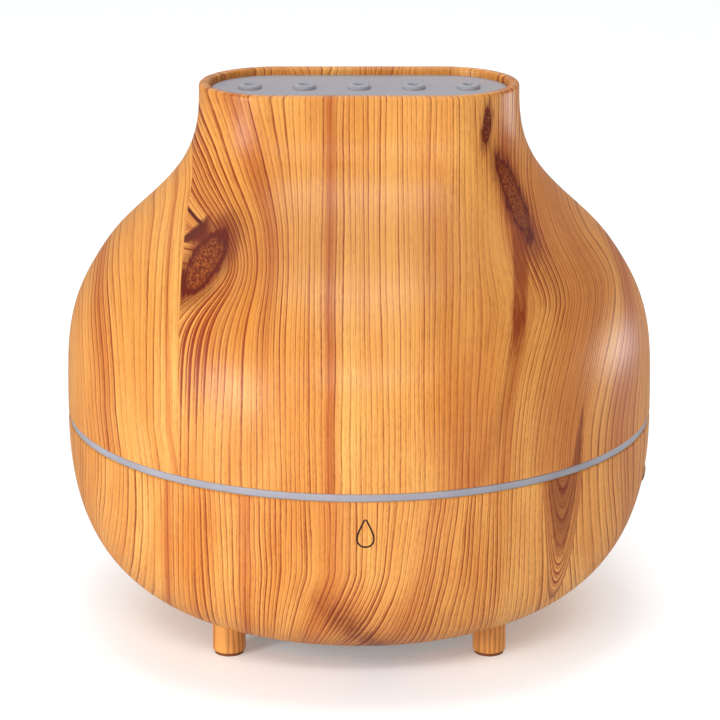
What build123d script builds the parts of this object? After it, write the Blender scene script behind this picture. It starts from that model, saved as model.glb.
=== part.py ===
from build123d import *
from math import cos, radians, sin, tan
import os

# Essential oil diffuser. Millimetres, +Z up, front towards -Y.
# The origin is on the table under the middle of the body.

# ---------------------------------------------------------------- driving dimensions
BODY_RADIUS = 85
WALL = 3
FLOOR_HEIGHT = 6.5
RING_BOTTOM = 61.9
RING_TOP = 64.1
RIM_TOP = 159.5
RIM_HALF_LENGTH = 45.7
RIM_END_RADIUS = 22
FOOT_OFFSET = 37.4
FOOT_RADIUS = 4.75
TIGHT = 0.1
SMALL_PILOT_RADIUS = 1.05

# cover: heights and half widths of its sections, from the ring to the rim
COVER_SECTIONS = (
    (RING_TOP, 85),
    (78, 84.8),
    (90, 83.6),
    (100, 80.4),
    (108, 76),
    (116, 70.1),
    (124, 61.9),
    (134, 52.5),
    (146, 46.8),
    (RIM_TOP, RIM_HALF_LENGTH),
)
COVER_DROP = 1.7
LEAST_STRAIGHT = 0.4
LEDGE_HALF_WIDTH = 46
RIM_ROUNDING = 1.1
EDGE_CHAMFER = 0.4

# bowl: control points of its side curve as (radius, height), and how each moves per mm of inset
BOWL_CURVE = (
    (BODY_RADIUS, RING_BOTTOM),
    (BODY_RADIUS, 43.2),
    (82.3, 17.6),
    (61.2, FLOOR_HEIGHT),
    (40, FLOOR_HEIGHT),
)
BOWL_INSET = ((-1, 0), (-1, 0), (-0.87, 0.63), (-0.25, 1), (0, 1))

# outlet plate in the rim, and the ledge that carries it
PLATE_TOP = RIM_TOP - 2.1
PLATE_BOTTOM = PLATE_TOP - 2.9
LEDGE_BOTTOM = PLATE_BOTTOM - 2.5
LEDGE_WIDTH = 2.4
OUTLET_COUNT = 5
OUTLET_PITCH = 15.6
OUTLET_RADIUS = 1.5
DOME_RADIUS = 3.4
DOME_HEIGHT = 1.2
DOME_ROUNDING = 0.9 * DOME_HEIGHT
PLATE_CHAMFER = 0.3
RIM_STRAIGHT = 2 * (RIM_HALF_LENGTH - RIM_END_RADIUS)

# mist guide under the plate
GUIDE_WALL = 1.6
GUIDE_BOTTOM = 58
GUIDE_FLANGE = 2
GUIDE_SECTIONS = ((LEDGE_BOTTOM - GUIDE_FLANGE, 51, 11), (128, 34, 13), (110, 13, 17), (98, 0.4, 19.8))
GUIDE_SCREW_X = 14
GUIDE_SCREW_Y = 14.2
GUIDE_SCREW_RADIUS = 0.85
GUIDE_PILOT_RADIUS = 0.95
GUIDE_POST_RADIUS = 2.2
GUIDE_HOLE_RADIUS = 1.15
GUIDE_MARGIN = 0.8

# light ring
RING_RADIUS = BODY_RADIUS - 0.4
LIP_OUTER = 81.4
LIP_INNER = 79.6
LIP_TOP = 68.5
LIP_BOTTOM = 52.5
RING_ROUNDING = 0.4
LIP_ROUNDING = 0.5

# water tank and its air duct
TANK_FLOOR = 2.2
TANK_WALL = 2.2
TANK_BOTTOM = 38
TANK_BASE_RADIUS = 67
TANK_RIM_RADIUS = 70.6
TANK_FLANGE_RADIUS = 79.4
TANK_FLANGE = 1.8
DUCT_X = -42
DUCT_LENGTH = 20
DUCT_WIDTH = 26
DUCT_WALL = 2
DUCT_TOP = 74
TANK_CORNER = 4
TANK_POST_RADIUS = 4.5
CAP_TOP = 82
CAP_OVERLAP = 6
CAP_WALL = 1.5
CAP_ROOF = 1.8
CAP_WINDOW_WIDTH = DUCT_WIDTH - 4
CAP_WINDOW_HEIGHT = 5
DUCT_CORNER = 3
DUCT_INNER_CORNER = 1.5

# ultrasonic disc in the middle of the tank floor
DISC_RADIUS = 10
DISC_THICKNESS = 0.65
SEAL_RADIUS = 12
SEAL_HEIGHT = 3.4
SEAL_HOLE = 8
SEAT_RADIUS = 18
SEAT_BOTTOM = 34.8
RETAINER_THICKNESS = 1.6
RETAINER_SCREW_CIRCLE = 15
RETAINER_SCREW_RADIUS = 1
RETAINER_HOLE_RADIUS = 1.3

# 40 mm fan under the duct
FAN_X = -40
FAN_SIZE = 40
FAN_DEPTH = 10
FAN_TOP = 36
FAN_BORE = 19
FAN_SCREW_PITCH = 32
HUB_RADIUS = 12
HUB_WALL = 1.4
BLADE_COUNT = 7
BLADE_CHORD = 8.6
BLADE_PITCH = 40
BLADE_TIP = 18
BLADE_THICKNESS = 1
SHAFT_RADIUS = 1
BEARING_RADIUS = 2
BEARING_LENGTH = 6.4
BEARING_HOUSING_RADIUS = 3.2
BEARING_TOP = FAN_TOP - 0.8
FAN_BACK_THICKNESS = 1.4
FAN_ARM_WIDTH = 2.2
FAN_ARM_ANGLES = (30, 150, 270)
FAN_CORNER = 2.5
FAN_HOLE_RADIUS = 1.75
FAN_SCREW_RADIUS = 1.25
FAN_PILOT_RADIUS = 1.3
STATOR_RADIUS = 9.2
STATOR_HEIGHT = 4.6
STATOR_SLOT = (5, 2)
ROTOR_HEIGHT = 7
MAGNET_HEIGHT = 5.4
MAGNET_THICKNESS = 0.9

# driver board on the bottom cover
BOARD_X = 12
BOARD_LENGTH = 38
BOARD_WIDTH = 46
BOARD_BOTTOM = 16
BOARD_THICKNESS = 1.6
BOARD_TOP = BOARD_BOTTOM + BOARD_THICKNESS
BOARD_SCREW_X = 32
BOARD_SCREW_Y = 40
BOARD_SCREW_RADIUS = 1.1
BOARD_HOLE_RADIUS = 1.4
INDUCTOR_PLACE = (8, -12)
INDUCTOR_HEIGHT = 9.6
INDUCTOR_RADIUS = 5
INDUCTOR_WAIST = 4.2
INDUCTOR_CHEEK = 1.6
CAPACITOR_PLACES = ((25, -5), (25, 5))
CAPACITOR_RADIUS = 4
CAPACITOR_HEIGHT = 11.5
HEATSINK_PLACE = (16, 17)
HEATSINK_SIZE = (18, 2, 13)
FIN_COUNT = 5
FIN_PITCH = 4
FIN_SIZE = (1.2, 5, 13)
TRANSISTOR_PLACE = (16, 13.8)
TRANSISTOR_LIFT = 2
TRANSISTOR_SIZE = (10, 4.4, 9)
TRANSISTOR_TAB = (10, 1, 1.9)
LEG_PITCH = 2.54
LEG_SIZE = (0.8, 0.6, TRANSISTOR_LIFT)
CHIP_PLACE = (14, 1)
CHIP_SIZE = (6, 9, 2.2)
HEADER_PLACES = ((-5, 0), (-5, -8), (2, 19), (29, 13), (18, -19))
HEADER_SIZE = (4.4, 5.8, 5.6)

# bottom cover
COVER_DISC_RADIUS = 44
COVER_DISC_THICKNESS = 2
COVER_DISC_TOP = FLOOR_HEIGHT + COVER_DISC_THICKNESS
HATCH_RADIUS = 39.5
HATCH_RIM_RADIUS = 46.5
HATCH_RIM_TOP = 11.5
COVER_SCREW_CIRCLE = 41.6
COVER_SCREW_RADIUS = 1
COVER_SCREW_HEAD = 2.1
COVER_SCREW_SINK = 1.1
COVER_SCREW_GAP = 0.15
COVER_HOLE_RADIUS = COVER_SCREW_RADIUS + COVER_SCREW_GAP
COVER_SCREW_LENGTH = 6
COVER_BOSS_RADIUS = 3
COVER_BOSS_TOP = 14.5
SLOT_COUNT = 6
SLOT_PITCH = 5
SLOT_LENGTH = 28
SLOT_WIDTH = 2.4
SLOT_X = -21
BOARD_POST_RADIUS = 2.8

# light board
LED_BOARD_BOTTOM = 48.9
LED_BOARD_INNER = 73.5
LED_BOARD_OUTER = 81
LED_SHELF_RADIUS = 78.4
LED_SHELF_THICKNESS = 2
LED_COUNT = 12
LED_SIZE = (2.8, 3.5, 0.8)

# buttons on the right-hand side
BUTTON_HEIGHT = 42.4
BUTTON_LENGTH = 11
BUTTON_WIDTH = 4.4
BUTTON_SPACING = 20
BUTTON_PROUD = 0.9
BUTTON_ANGLE = 7
BUTTON_GAP = 0.25
BUTTON_FLANGE = 1
BUTTON_TRAVEL_GAP = 0.3
BUTTON_SCREW_PITCH = 41
BUTTON_SCREW_RADIUS = 0.95
BUTTON_BOSS_RADIUS = 2.5
BUTTON_BOARD_SIZE = (48, 13.6)
BUTTON_BOARD_DROP = 1.2
SWITCH_SIZE = 6
SWITCH_HEIGHT = 3.5
SWITCH_STEM_RADIUS = 1.7
SWITCH_STEM_HEIGHT = 0.8
SWITCH_FACE = 71.6
FLANGE_FACE = 77

# power socket at the back
JACK_HEIGHT = 31
JACK_SEAT = 76
JACK_INNER_FACE = 72.5
JACK_RADIUS = 3.95
JACK_BOSS_RADIUS = 7.5
JACK_RECESS_RADIUS = 5.5
JACK_FLANGE_RADIUS = 5.2
JACK_FLANGE = 1.5
JACK_LENGTH = 14
JACK_BORE_RADIUS = 2.8
JACK_BORE_DEPTH = 9.5
JACK_PIN_RADIUS = 1
JACK_TAB_SPREAD = 1.6
JACK_TAB = (1, 2.4)
JACK_TAB_LENGTH = 5
NUT_RADIUS = 6
NUT_THICKNESS = 2

# feet
PAD_HEIGHT = 0.8
FOOT_TOP = 11.5
FOOT_ROUNDING = 0.7
FOOT_HOLE_RADIUS = 1.6
FOOT_PILOT_RADIUS = 1.5
FOOT_SCREW_RADIUS = 1.45
FOOT_SCREW_SINK = 3.2
FOOT_SCREW_SEAT = 3.1
BOSS_TOP = 16
BOSS_RADIUS = 7.5
FOOT_PLACES = {
    "foot_front_left": (-FOOT_OFFSET, -FOOT_OFFSET),
    "foot_front_right": (FOOT_OFFSET, -FOOT_OFFSET),
    "foot_back_left": (-FOOT_OFFSET, FOOT_OFFSET),
    "foot_back_right": (FOOT_OFFSET, FOOT_OFFSET),
}

ON_BASE = (Align.CENTER, Align.CENTER, Align.MIN)
HANGING = (Align.CENTER, Align.CENTER, Align.MAX)


# ---------------------------------------------------------------- shared shapes
def straight_at(half_width):
    """Straight length of the cover's section that is this wide: none at the ring, full at the rim."""
    blend = (half_width - RIM_HALF_LENGTH) / (BODY_RADIUS - RIM_HALF_LENGTH)
    return LEAST_STRAIGHT + (RIM_STRAIGHT - LEAST_STRAIGHT) * (1 - blend)


def bowl_body(inset):
    """Solid of revolution whose side is the bowl's curve moved inwards by inset."""
    bottom = FLOOR_HEIGHT + inset
    with BuildPart() as body:
        with BuildSketch(Plane.XZ):
            with BuildLine():
                side = Bezier(
                    *[
                        (radius + inset * outwards, height + inset * upwards)
                        for (radius, height), (outwards, upwards) in zip(BOWL_CURVE, BOWL_INSET)
                    ]
                )
                Polyline(side @ 1, (0, bottom), (0, RING_BOTTOM), side @ 0)
            make_face()
        revolve(axis=Axis.Z)
    return body.part


def screw(head_radius, head_height, shank_radius, shank_length):
    """Pan-head screw pointing up, with the underside of its head at the origin."""
    with BuildPart() as body:
        Cylinder(shank_radius, shank_length, align=ON_BASE)
        Cylinder(head_radius, head_height, align=HANGING)
        fillet(body.edges().group_by(Axis.Z)[0], 0.35 * head_height)
        with BuildSketch(Plane.XY.offset(-head_height)):
            Rectangle(1.1 * head_radius, 0.24 * head_radius)
            Rectangle(0.24 * head_radius, 1.1 * head_radius)
        extrude(amount=0.4 * head_height, mode=Mode.SUBTRACT)
    return body.part


def wire(points, radius):
    """Insulated wire along straight runs, each corner an arc as large as its runs allow."""
    route = [Vector(*point) for point in points]
    runs = [after - before for before, after in zip(route, route[1:])]
    bends = [
        0.45 * min(one.length, two.length) / tan(radians(one.get_angle(two)) / 2)
        for one, two in zip(runs, runs[1:])
    ]
    with BuildPart() as body:
        with BuildLine() as path:
            FilletPolyline(*route, radius=bends)
        with BuildSketch(Plane(origin=path.line @ 0, z_dir=path.line % 0)):
            Circle(radius)
        sweep(path=path.line)
    return body.part


def lead_pair(points, spread):
    """Two wires side by side, spread apart along the given direction."""
    half = Vector(*spread) / 2
    with BuildPart() as pair:
        for side in (half, half * -1):
            add(wire([tuple(Vector(*point) + side) for point in points], 0.7))
    return pair


BUTTON_TURN = radians(BUTTON_ANGLE)
button_plane = Plane(
    origin=(0, 0, BUTTON_HEIGHT),
    x_dir=(-sin(BUTTON_TURN), cos(BUTTON_TURN), 0),
    z_dir=(cos(BUTTON_TURN), sin(BUTTON_TURN), 0),
)
bowl_outer = bowl_body(0)
bowl_inner = bowl_body(WALL)


# ---------------------------------------------------------------- cover
with BuildPart() as cover_shell:
    for height, half_width in COVER_SECTIONS:
        with BuildSketch(Plane.XY.offset(height)):
            straight = straight_at(half_width)
            SlotCenterToCenter(straight, 2 * half_width - straight)
    loft()
    inner_sections = [(height - COVER_DROP, half_width) for height, half_width in COVER_SECTIONS[:-1]]
    for height, half_width in inner_sections + [(LEDGE_BOTTOM, LEDGE_HALF_WIDTH)]:
        with BuildSketch(Plane.XY.offset(height)):
            straight = straight_at(half_width)
            SlotCenterToCenter(straight, 2 * (half_width - WALL) - straight)
    loft(mode=Mode.SUBTRACT)
    with BuildSketch(Plane.XY.offset(LEDGE_BOTTOM)):
        SlotCenterToCenter(RIM_STRAIGHT, 2 * (RIM_END_RADIUS - WALL - LEDGE_WIDTH))
    extrude(until=Until.LAST, mode=Mode.SUBTRACT)
    with BuildSketch(Plane.XY.offset(PLATE_BOTTOM)):
        SlotCenterToCenter(RIM_STRAIGHT, 2 * (RIM_END_RADIUS - WALL))
    extrude(until=Until.LAST, mode=Mode.SUBTRACT)
    fillet(cover_shell.edges().group_by(Axis.Z)[-1], RIM_ROUNDING)
    chamfer(cover_shell.faces().sort_by(Axis.Z)[0].outer_wire().edges(), EDGE_CHAMFER)

with BuildPart() as mist_plate:
    with BuildSketch(Plane.XY.offset(PLATE_BOTTOM)):
        SlotCenterToCenter(RIM_STRAIGHT, 2 * (RIM_END_RADIUS - WALL - TIGHT))
    extrude(amount=PLATE_TOP - PLATE_BOTTOM)
    chamfer(mist_plate.edges().group_by(Axis.Z)[-1], PLATE_CHAMFER)
    with Locations((0, 0, PLATE_TOP)):
        with GridLocations(OUTLET_PITCH, 0, OUTLET_COUNT, 1):
            Cylinder(DOME_RADIUS, DOME_HEIGHT, align=ON_BASE)
    fillet(mist_plate.edges().group_by(Axis.Z)[-1], DOME_ROUNDING)
    with Locations((0, 0, PLATE_TOP + DOME_HEIGHT)):
        with GridLocations(OUTLET_PITCH, 0, OUTLET_COUNT, 1):
            CounterSinkHole(OUTLET_RADIUS, OUTLET_RADIUS + 0.4)
    with Locations((0, 0, PLATE_BOTTOM)):
        with GridLocations(2 * GUIDE_SCREW_X, 2 * GUIDE_SCREW_Y, 2, 2):
            Cylinder(GUIDE_POST_RADIUS, PLATE_BOTTOM - LEDGE_BOTTOM, align=HANGING)
            Cylinder(GUIDE_PILOT_RADIUS, 2 * (PLATE_BOTTOM - LEDGE_BOTTOM), mode=Mode.SUBTRACT)

with BuildPart() as mist_guide:
    with BuildSketch(Plane.XY.offset(LEDGE_BOTTOM)):
        SlotCenterToCenter(RIM_STRAIGHT, 2 * (RIM_END_RADIUS - WALL - GUIDE_MARGIN))
    extrude(amount=-GUIDE_FLANGE)
    for height, straight, end_radius in GUIDE_SECTIONS:
        with BuildSketch(Plane.XY.offset(height)):
            SlotCenterToCenter(straight, 2 * end_radius)
    loft()
    with BuildSketch(Plane.XY.offset(GUIDE_SECTIONS[-1][0])):
        SlotCenterToCenter(LEAST_STRAIGHT, 2 * GUIDE_SECTIONS[-1][2])
    extrude(amount=GUIDE_BOTTOM - GUIDE_SECTIONS[-1][0])
    with BuildSketch(Plane.XY.offset(LEDGE_BOTTOM)):
        SlotCenterToCenter(GUIDE_SECTIONS[0][1], 2 * (GUIDE_SECTIONS[0][2] - GUIDE_WALL))
    extrude(amount=-GUIDE_FLANGE, mode=Mode.SUBTRACT)
    for height, straight, end_radius in GUIDE_SECTIONS:
        with BuildSketch(Plane.XY.offset(height)):
            SlotCenterToCenter(straight, 2 * (end_radius - GUIDE_WALL))
    loft(mode=Mode.SUBTRACT)
    with BuildSketch(Plane.XY.offset(GUIDE_SECTIONS[-1][0])):
        SlotCenterToCenter(LEAST_STRAIGHT, 2 * (GUIDE_SECTIONS[-1][2] - GUIDE_WALL))
    extrude(amount=GUIDE_BOTTOM - GUIDE_SECTIONS[-1][0], mode=Mode.SUBTRACT)
    with Locations((0, 0, LEDGE_BOTTOM)):
        with GridLocations(2 * GUIDE_SCREW_X, 2 * GUIDE_SCREW_Y, 2, 2):
            Hole(GUIDE_HOLE_RADIUS, 2 * GUIDE_FLANGE)

guide_screw = screw(1.8, 1.4, GUIDE_SCREW_RADIUS, GUIDE_FLANGE + 3.4)
with BuildPart() as guide_screws:
    with Locations((0, 0, LEDGE_BOTTOM - GUIDE_FLANGE)):
        with GridLocations(2 * GUIDE_SCREW_X, 2 * GUIDE_SCREW_Y, 2, 2):
            add(guide_screw)


# ---------------------------------------------------------------- base
with BuildPart() as bowl_cavity:
    add(bowl_inner)
    with Locations(*FOOT_PLACES.values()):
        Cylinder(BOSS_RADIUS, BOSS_TOP, align=ON_BASE, mode=Mode.SUBTRACT)
    with BuildSketch():
        Circle(HATCH_RIM_RADIUS)
        Circle(HATCH_RADIUS, mode=Mode.SUBTRACT)
    extrude(amount=HATCH_RIM_TOP, mode=Mode.SUBTRACT)
    with PolarLocations(COVER_SCREW_CIRCLE + 0.6, 3, start_angle=90):
        Cylinder(COVER_BOSS_RADIUS, COVER_BOSS_TOP, align=ON_BASE, mode=Mode.SUBTRACT)
    with BuildSketch(Plane.XY.offset(LED_BOARD_BOTTOM)):
        Circle(BODY_RADIUS)
        Circle(LED_SHELF_RADIUS, mode=Mode.SUBTRACT)
    extrude(amount=-LED_SHELF_THICKNESS, mode=Mode.SUBTRACT)
    with BuildSketch(button_plane.offset(SWITCH_FACE)):
        with GridLocations(BUTTON_SCREW_PITCH, 0, 2, 1):
            Circle(BUTTON_BOSS_RADIUS)
    extrude(amount=10, mode=Mode.SUBTRACT)
    with BuildSketch(Plane.XZ.offset(-JACK_INNER_FACE)):
        with Locations((0, JACK_HEIGHT)):
            Circle(JACK_BOSS_RADIUS)
    extrude(amount=-10, mode=Mode.SUBTRACT)

with BuildPart() as base_shell:
    add(bowl_outer)
    add(bowl_cavity.part, mode=Mode.SUBTRACT)
    Cylinder(HATCH_RADIUS, 2 * BOSS_TOP, mode=Mode.SUBTRACT)
    Cylinder(COVER_DISC_RADIUS + TIGHT, COVER_DISC_TOP, align=ON_BASE, mode=Mode.SUBTRACT)
    with Locations(*FOOT_PLACES.values()):
        Cylinder(FOOT_RADIUS + TIGHT, FOOT_TOP, align=ON_BASE, mode=Mode.SUBTRACT)
        Cylinder(FOOT_HOLE_RADIUS, 2 * BOSS_TOP + 1, mode=Mode.SUBTRACT)
    with PolarLocations(COVER_SCREW_CIRCLE, 3, start_angle=90):
        Cylinder(SMALL_PILOT_RADIUS, COVER_BOSS_TOP - 1.5, align=ON_BASE, mode=Mode.SUBTRACT)
    with BuildSketch(button_plane.offset(SWITCH_FACE - 1)):
        with GridLocations(BUTTON_SPACING, 0, 2, 1):
            SlotCenterToCenter(BUTTON_LENGTH - BUTTON_WIDTH, BUTTON_WIDTH + 2 * BUTTON_GAP)
    extrude(amount=BODY_RADIUS, mode=Mode.SUBTRACT)
    with BuildSketch(button_plane.offset(SWITCH_FACE)):
        with GridLocations(BUTTON_SCREW_PITCH, 0, 2, 1):
            Circle(BUTTON_SCREW_RADIUS + 0.05)
    extrude(amount=5, mode=Mode.SUBTRACT)
    with BuildSketch(Plane.XZ.offset(-JACK_SEAT)):
        with Locations((0, JACK_HEIGHT)):
            Circle(JACK_RECESS_RADIUS)
    extrude(amount=-20, mode=Mode.SUBTRACT)
    with BuildSketch(Plane.XZ.offset(5 - JACK_INNER_FACE)):
        with Locations((0, JACK_HEIGHT)):
            Circle(JACK_RADIUS + TIGHT)
    extrude(amount=-20, mode=Mode.SUBTRACT)
    chamfer(base_shell.faces().sort_by(Axis.Z)[-1].outer_wire().edges(), EDGE_CHAMFER)

with BuildPart() as light_ring:
    with BuildSketch(Plane.XZ) as ring_profile:
        with BuildLine():
            Polyline(
                (LIP_INNER, LIP_BOTTOM),
                (LIP_OUTER, LIP_BOTTOM),
                (LIP_OUTER, RING_BOTTOM),
                (RING_RADIUS, RING_BOTTOM),
                (RING_RADIUS, RING_TOP),
                (LIP_OUTER, RING_TOP),
                (LIP_OUTER, LIP_TOP),
                (LIP_INNER, LIP_TOP),
                close=True,
            )
        make_face()
        fillet(ring_profile.vertices().group_by(Axis.X)[-1], RING_ROUNDING)
        fillet(ring_profile.vertices().group_by(Axis.Y)[-1], LIP_ROUNDING)
    revolve(axis=Axis.Z)

with BuildPart() as water_tank:
    with Locations((0, 0, TANK_BOTTOM)):
        Cone(TANK_BASE_RADIUS, TANK_RIM_RADIUS, RING_TOP - TANK_BOTTOM, align=ON_BASE)
    fillet(water_tank.edges().group_by(Axis.Z)[0], TANK_CORNER + 0.5)
    with Locations((0, 0, RING_TOP)):
        Cylinder(TANK_FLANGE_RADIUS, TANK_FLANGE, align=HANGING)
    with Locations((0, 0, TANK_BOTTOM + TANK_FLOOR)):
        Cone(
            TANK_BASE_RADIUS - TANK_WALL,
            TANK_RIM_RADIUS - TANK_WALL,
            RING_TOP - TANK_BOTTOM - TANK_FLOOR,
            align=ON_BASE,
            mode=Mode.SUBTRACT,
        )
    tank_corner = water_tank.edges().filter_by(GeomType.CIRCLE).sort_by_distance(
        (TANK_BASE_RADIUS - TANK_WALL, 0, TANK_BOTTOM + TANK_FLOOR)
    )[0]
    fillet(tank_corner, TANK_CORNER)
    with Locations((DUCT_X, 0, TANK_BOTTOM + 1)):
        Box(
            DUCT_LENGTH + 2 * DUCT_WALL,
            DUCT_WIDTH + 2 * DUCT_WALL,
            DUCT_TOP - TANK_BOTTOM - 1,
            align=ON_BASE,
        )
    fillet(water_tank.edges().filter_by(Axis.Z).group_by(SortBy.LENGTH)[-1], DUCT_CORNER)
    with Locations((FAN_X, 0, FAN_TOP)):
        Box(FAN_SIZE, FAN_SIZE, TANK_BOTTOM + 0.5 - FAN_TOP, align=ON_BASE)
        Cylinder(FAN_BORE, TANK_BOTTOM - FAN_TOP, align=ON_BASE, mode=Mode.SUBTRACT)
        with GridLocations(FAN_SCREW_PITCH, FAN_SCREW_PITCH, 2, 2):
            Cylinder(FAN_PILOT_RADIUS, 3.2, align=ON_BASE, mode=Mode.SUBTRACT)
    with BuildSketch(Plane.XY.offset(TANK_BOTTOM - 1)):
        with Locations((DUCT_X, 0)):
            RectangleRounded(DUCT_LENGTH, DUCT_WIDTH, DUCT_INNER_CORNER)
    extrude(amount=DUCT_TOP, mode=Mode.SUBTRACT)
    with Locations((0, 0, SEAT_BOTTOM)):
        Cylinder(SEAT_RADIUS, TANK_BOTTOM + 0.5 - SEAT_BOTTOM, align=ON_BASE)
        Cylinder(SEAL_RADIUS + TIGHT, SEAL_HEIGHT, align=ON_BASE, mode=Mode.SUBTRACT)
        Cylinder(SEAL_HOLE, 3 * SEAL_HEIGHT, align=ON_BASE, mode=Mode.SUBTRACT)
        with PolarLocations(RETAINER_SCREW_CIRCLE, 3, start_angle=90):
            Cylinder(SMALL_PILOT_RADIUS, 4, align=ON_BASE, mode=Mode.SUBTRACT)
    with Locations(*[(x, y, BOSS_TOP) for x, y in FOOT_PLACES.values()]):
        Cylinder(TANK_POST_RADIUS, TANK_BOTTOM + 0.5 - BOSS_TOP, align=ON_BASE)
        Cylinder(FOOT_PILOT_RADIUS, 10, align=ON_BASE, mode=Mode.SUBTRACT)

CAP_BOTTOM = DUCT_TOP - CAP_OVERLAP
cap_hollow = (DUCT_LENGTH + 2 * (DUCT_WALL + TIGHT), DUCT_WIDTH + 2 * (DUCT_WALL + TIGHT))
with BuildPart() as duct_cap:
    with Locations((DUCT_X, 0, CAP_BOTTOM)):
        Box(
            DUCT_LENGTH + 2 * (DUCT_WALL + CAP_WALL),
            DUCT_WIDTH + 2 * (DUCT_WALL + CAP_WALL),
            CAP_TOP - CAP_BOTTOM,
            align=ON_BASE,
        )
    fillet(duct_cap.edges().filter_by(Axis.Z), DUCT_CORNER + 0.5)
    fillet(duct_cap.edges().group_by(Axis.Z)[-1], 0.8 * CAP_WALL)
    with BuildSketch(Plane.XY.offset(CAP_BOTTOM)):
        with Locations((DUCT_X, 0)):
            RectangleRounded(*cap_hollow, DUCT_CORNER)
    extrude(amount=CAP_TOP - CAP_BOTTOM - CAP_ROOF, mode=Mode.SUBTRACT)
    with Locations((DUCT_X + DUCT_LENGTH, 0, DUCT_TOP + 0.8)):
        Box(DUCT_LENGTH, CAP_WINDOW_WIDTH, CAP_WINDOW_HEIGHT, align=ON_BASE, mode=Mode.SUBTRACT)


# ---------------------------------------------------------------- ultrasonic disc
DISC_BOTTOM = SEAT_BOTTOM + (SEAL_HEIGHT - DISC_THICKNESS) / 2

with BuildPart() as atomizer_disc:
    with Locations((0, 0, DISC_BOTTOM)):
        Cylinder(DISC_RADIUS - 0.05, DISC_THICKNESS, align=ON_BASE)

with BuildPart() as atomizer_seal:
    with Locations((0, 0, SEAT_BOTTOM)):
        Cylinder(SEAL_RADIUS, SEAL_HEIGHT, align=ON_BASE)
        Cylinder(SEAL_HOLE, 2 * SEAL_HEIGHT, mode=Mode.SUBTRACT)
    with Locations((0, 0, DISC_BOTTOM)):
        Cylinder(DISC_RADIUS, DISC_THICKNESS, align=ON_BASE, mode=Mode.SUBTRACT)

with BuildPart() as atomizer_retainer:
    with Locations((0, 0, SEAT_BOTTOM)):
        Cylinder(SEAT_RADIUS - 0.2, RETAINER_THICKNESS, align=HANGING)
        Cylinder(SEAL_HOLE, 2 * RETAINER_THICKNESS, mode=Mode.SUBTRACT)
        with PolarLocations(RETAINER_SCREW_CIRCLE, 3, start_angle=90):
            Hole(RETAINER_HOLE_RADIUS, 2 * RETAINER_THICKNESS)

retainer_screw = screw(2.1, 1.5, RETAINER_SCREW_RADIUS, RETAINER_THICKNESS + 3.6)
with BuildPart() as retainer_screws:
    with Locations((0, 0, SEAT_BOTTOM - RETAINER_THICKNESS)):
        with PolarLocations(RETAINER_SCREW_CIRCLE, 3, start_angle=90):
            add(retainer_screw)


# ---------------------------------------------------------------- fan
FAN_BOTTOM = FAN_TOP - FAN_DEPTH

with BuildPart() as fan_frame:
    with Locations((FAN_X, 0, FAN_BOTTOM)):
        Box(FAN_SIZE - 0.2, FAN_SIZE - 0.2, FAN_DEPTH, align=ON_BASE)
    fillet(fan_frame.edges().filter_by(Axis.Z), FAN_CORNER)
    with Locations((FAN_X, 0, FAN_BOTTOM)):
        Cylinder(FAN_BORE, FAN_DEPTH, align=ON_BASE, mode=Mode.SUBTRACT)
        with GridLocations(FAN_SCREW_PITCH, FAN_SCREW_PITCH, 2, 2):
            Cylinder(FAN_HOLE_RADIUS, FAN_DEPTH, align=ON_BASE, mode=Mode.SUBTRACT)
    with BuildSketch(Plane.XY.offset(FAN_TOP)):
        with Locations((FAN_X, 0)):
            Circle(HUB_RADIUS)
            for angle in FAN_ARM_ANGLES:
                with PolarLocations(0.5 * (HUB_RADIUS + FAN_BORE), 1, start_angle=angle):
                    Rectangle(FAN_BORE - HUB_RADIUS + 1, FAN_ARM_WIDTH)
    extrude(amount=-FAN_BACK_THICKNESS)
    with BuildSketch(Plane.XY.offset(FAN_TOP)):
        with Locations((FAN_X, 0)):
            Circle(BEARING_HOUSING_RADIUS)
    extrude(amount=-BEARING_LENGTH - 1)
    with Locations((FAN_X, 0, BEARING_TOP)):
        Cylinder(BEARING_RADIUS, FAN_DEPTH, align=HANGING, mode=Mode.SUBTRACT)

with BuildPart() as fan_bearing:
    with Locations((FAN_X, 0, BEARING_TOP)):
        Cylinder(BEARING_RADIUS - 0.02, BEARING_LENGTH, align=HANGING)
        Cylinder(SHAFT_RADIUS + 0.05, 3 * BEARING_LENGTH, mode=Mode.SUBTRACT)

with BuildPart() as fan_stator:
    with BuildSketch(Plane.XY.offset(FAN_TOP - FAN_BACK_THICKNESS - 0.5)):
        with Locations((FAN_X, 0)):
            Circle(STATOR_RADIUS)
            for quarter in range(4):
                with PolarLocations(0.8 * STATOR_RADIUS, 1, start_angle=90 * quarter + 45):
                    Rectangle(*STATOR_SLOT, mode=Mode.SUBTRACT)
            Circle(BEARING_HOUSING_RADIUS + TIGHT, mode=Mode.SUBTRACT)
    extrude(amount=-STATOR_HEIGHT)

with BuildPart() as fan_rotor:
    with Locations((FAN_X, 0, FAN_BOTTOM + 0.6)):
        Cylinder(HUB_RADIUS, ROTOR_HEIGHT, align=ON_BASE)
    fillet(fan_rotor.edges().group_by(Axis.Z)[0], 1)
    with Locations((FAN_X, 0, FAN_BOTTOM + 1.8)):
        Cylinder(HUB_RADIUS - HUB_WALL, ROTOR_HEIGHT, align=ON_BASE, mode=Mode.SUBTRACT)
    for blade in range(BLADE_COUNT):
        turn = Location((FAN_X, 0, FAN_BOTTOM + 4.2), (0, 0, 360 * blade / BLADE_COUNT))
        with BuildSketch(Plane(turn * Plane.YZ.location).offset(HUB_RADIUS - 0.8)):
            Rectangle(BLADE_CHORD, BLADE_THICKNESS, rotation=BLADE_PITCH)
        extrude(amount=BLADE_TIP - HUB_RADIUS + 0.8)
    with Locations((FAN_X, 0, FAN_BOTTOM)):
        Cylinder(SHAFT_RADIUS, 3, align=ON_BASE, mode=Mode.SUBTRACT)

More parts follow.
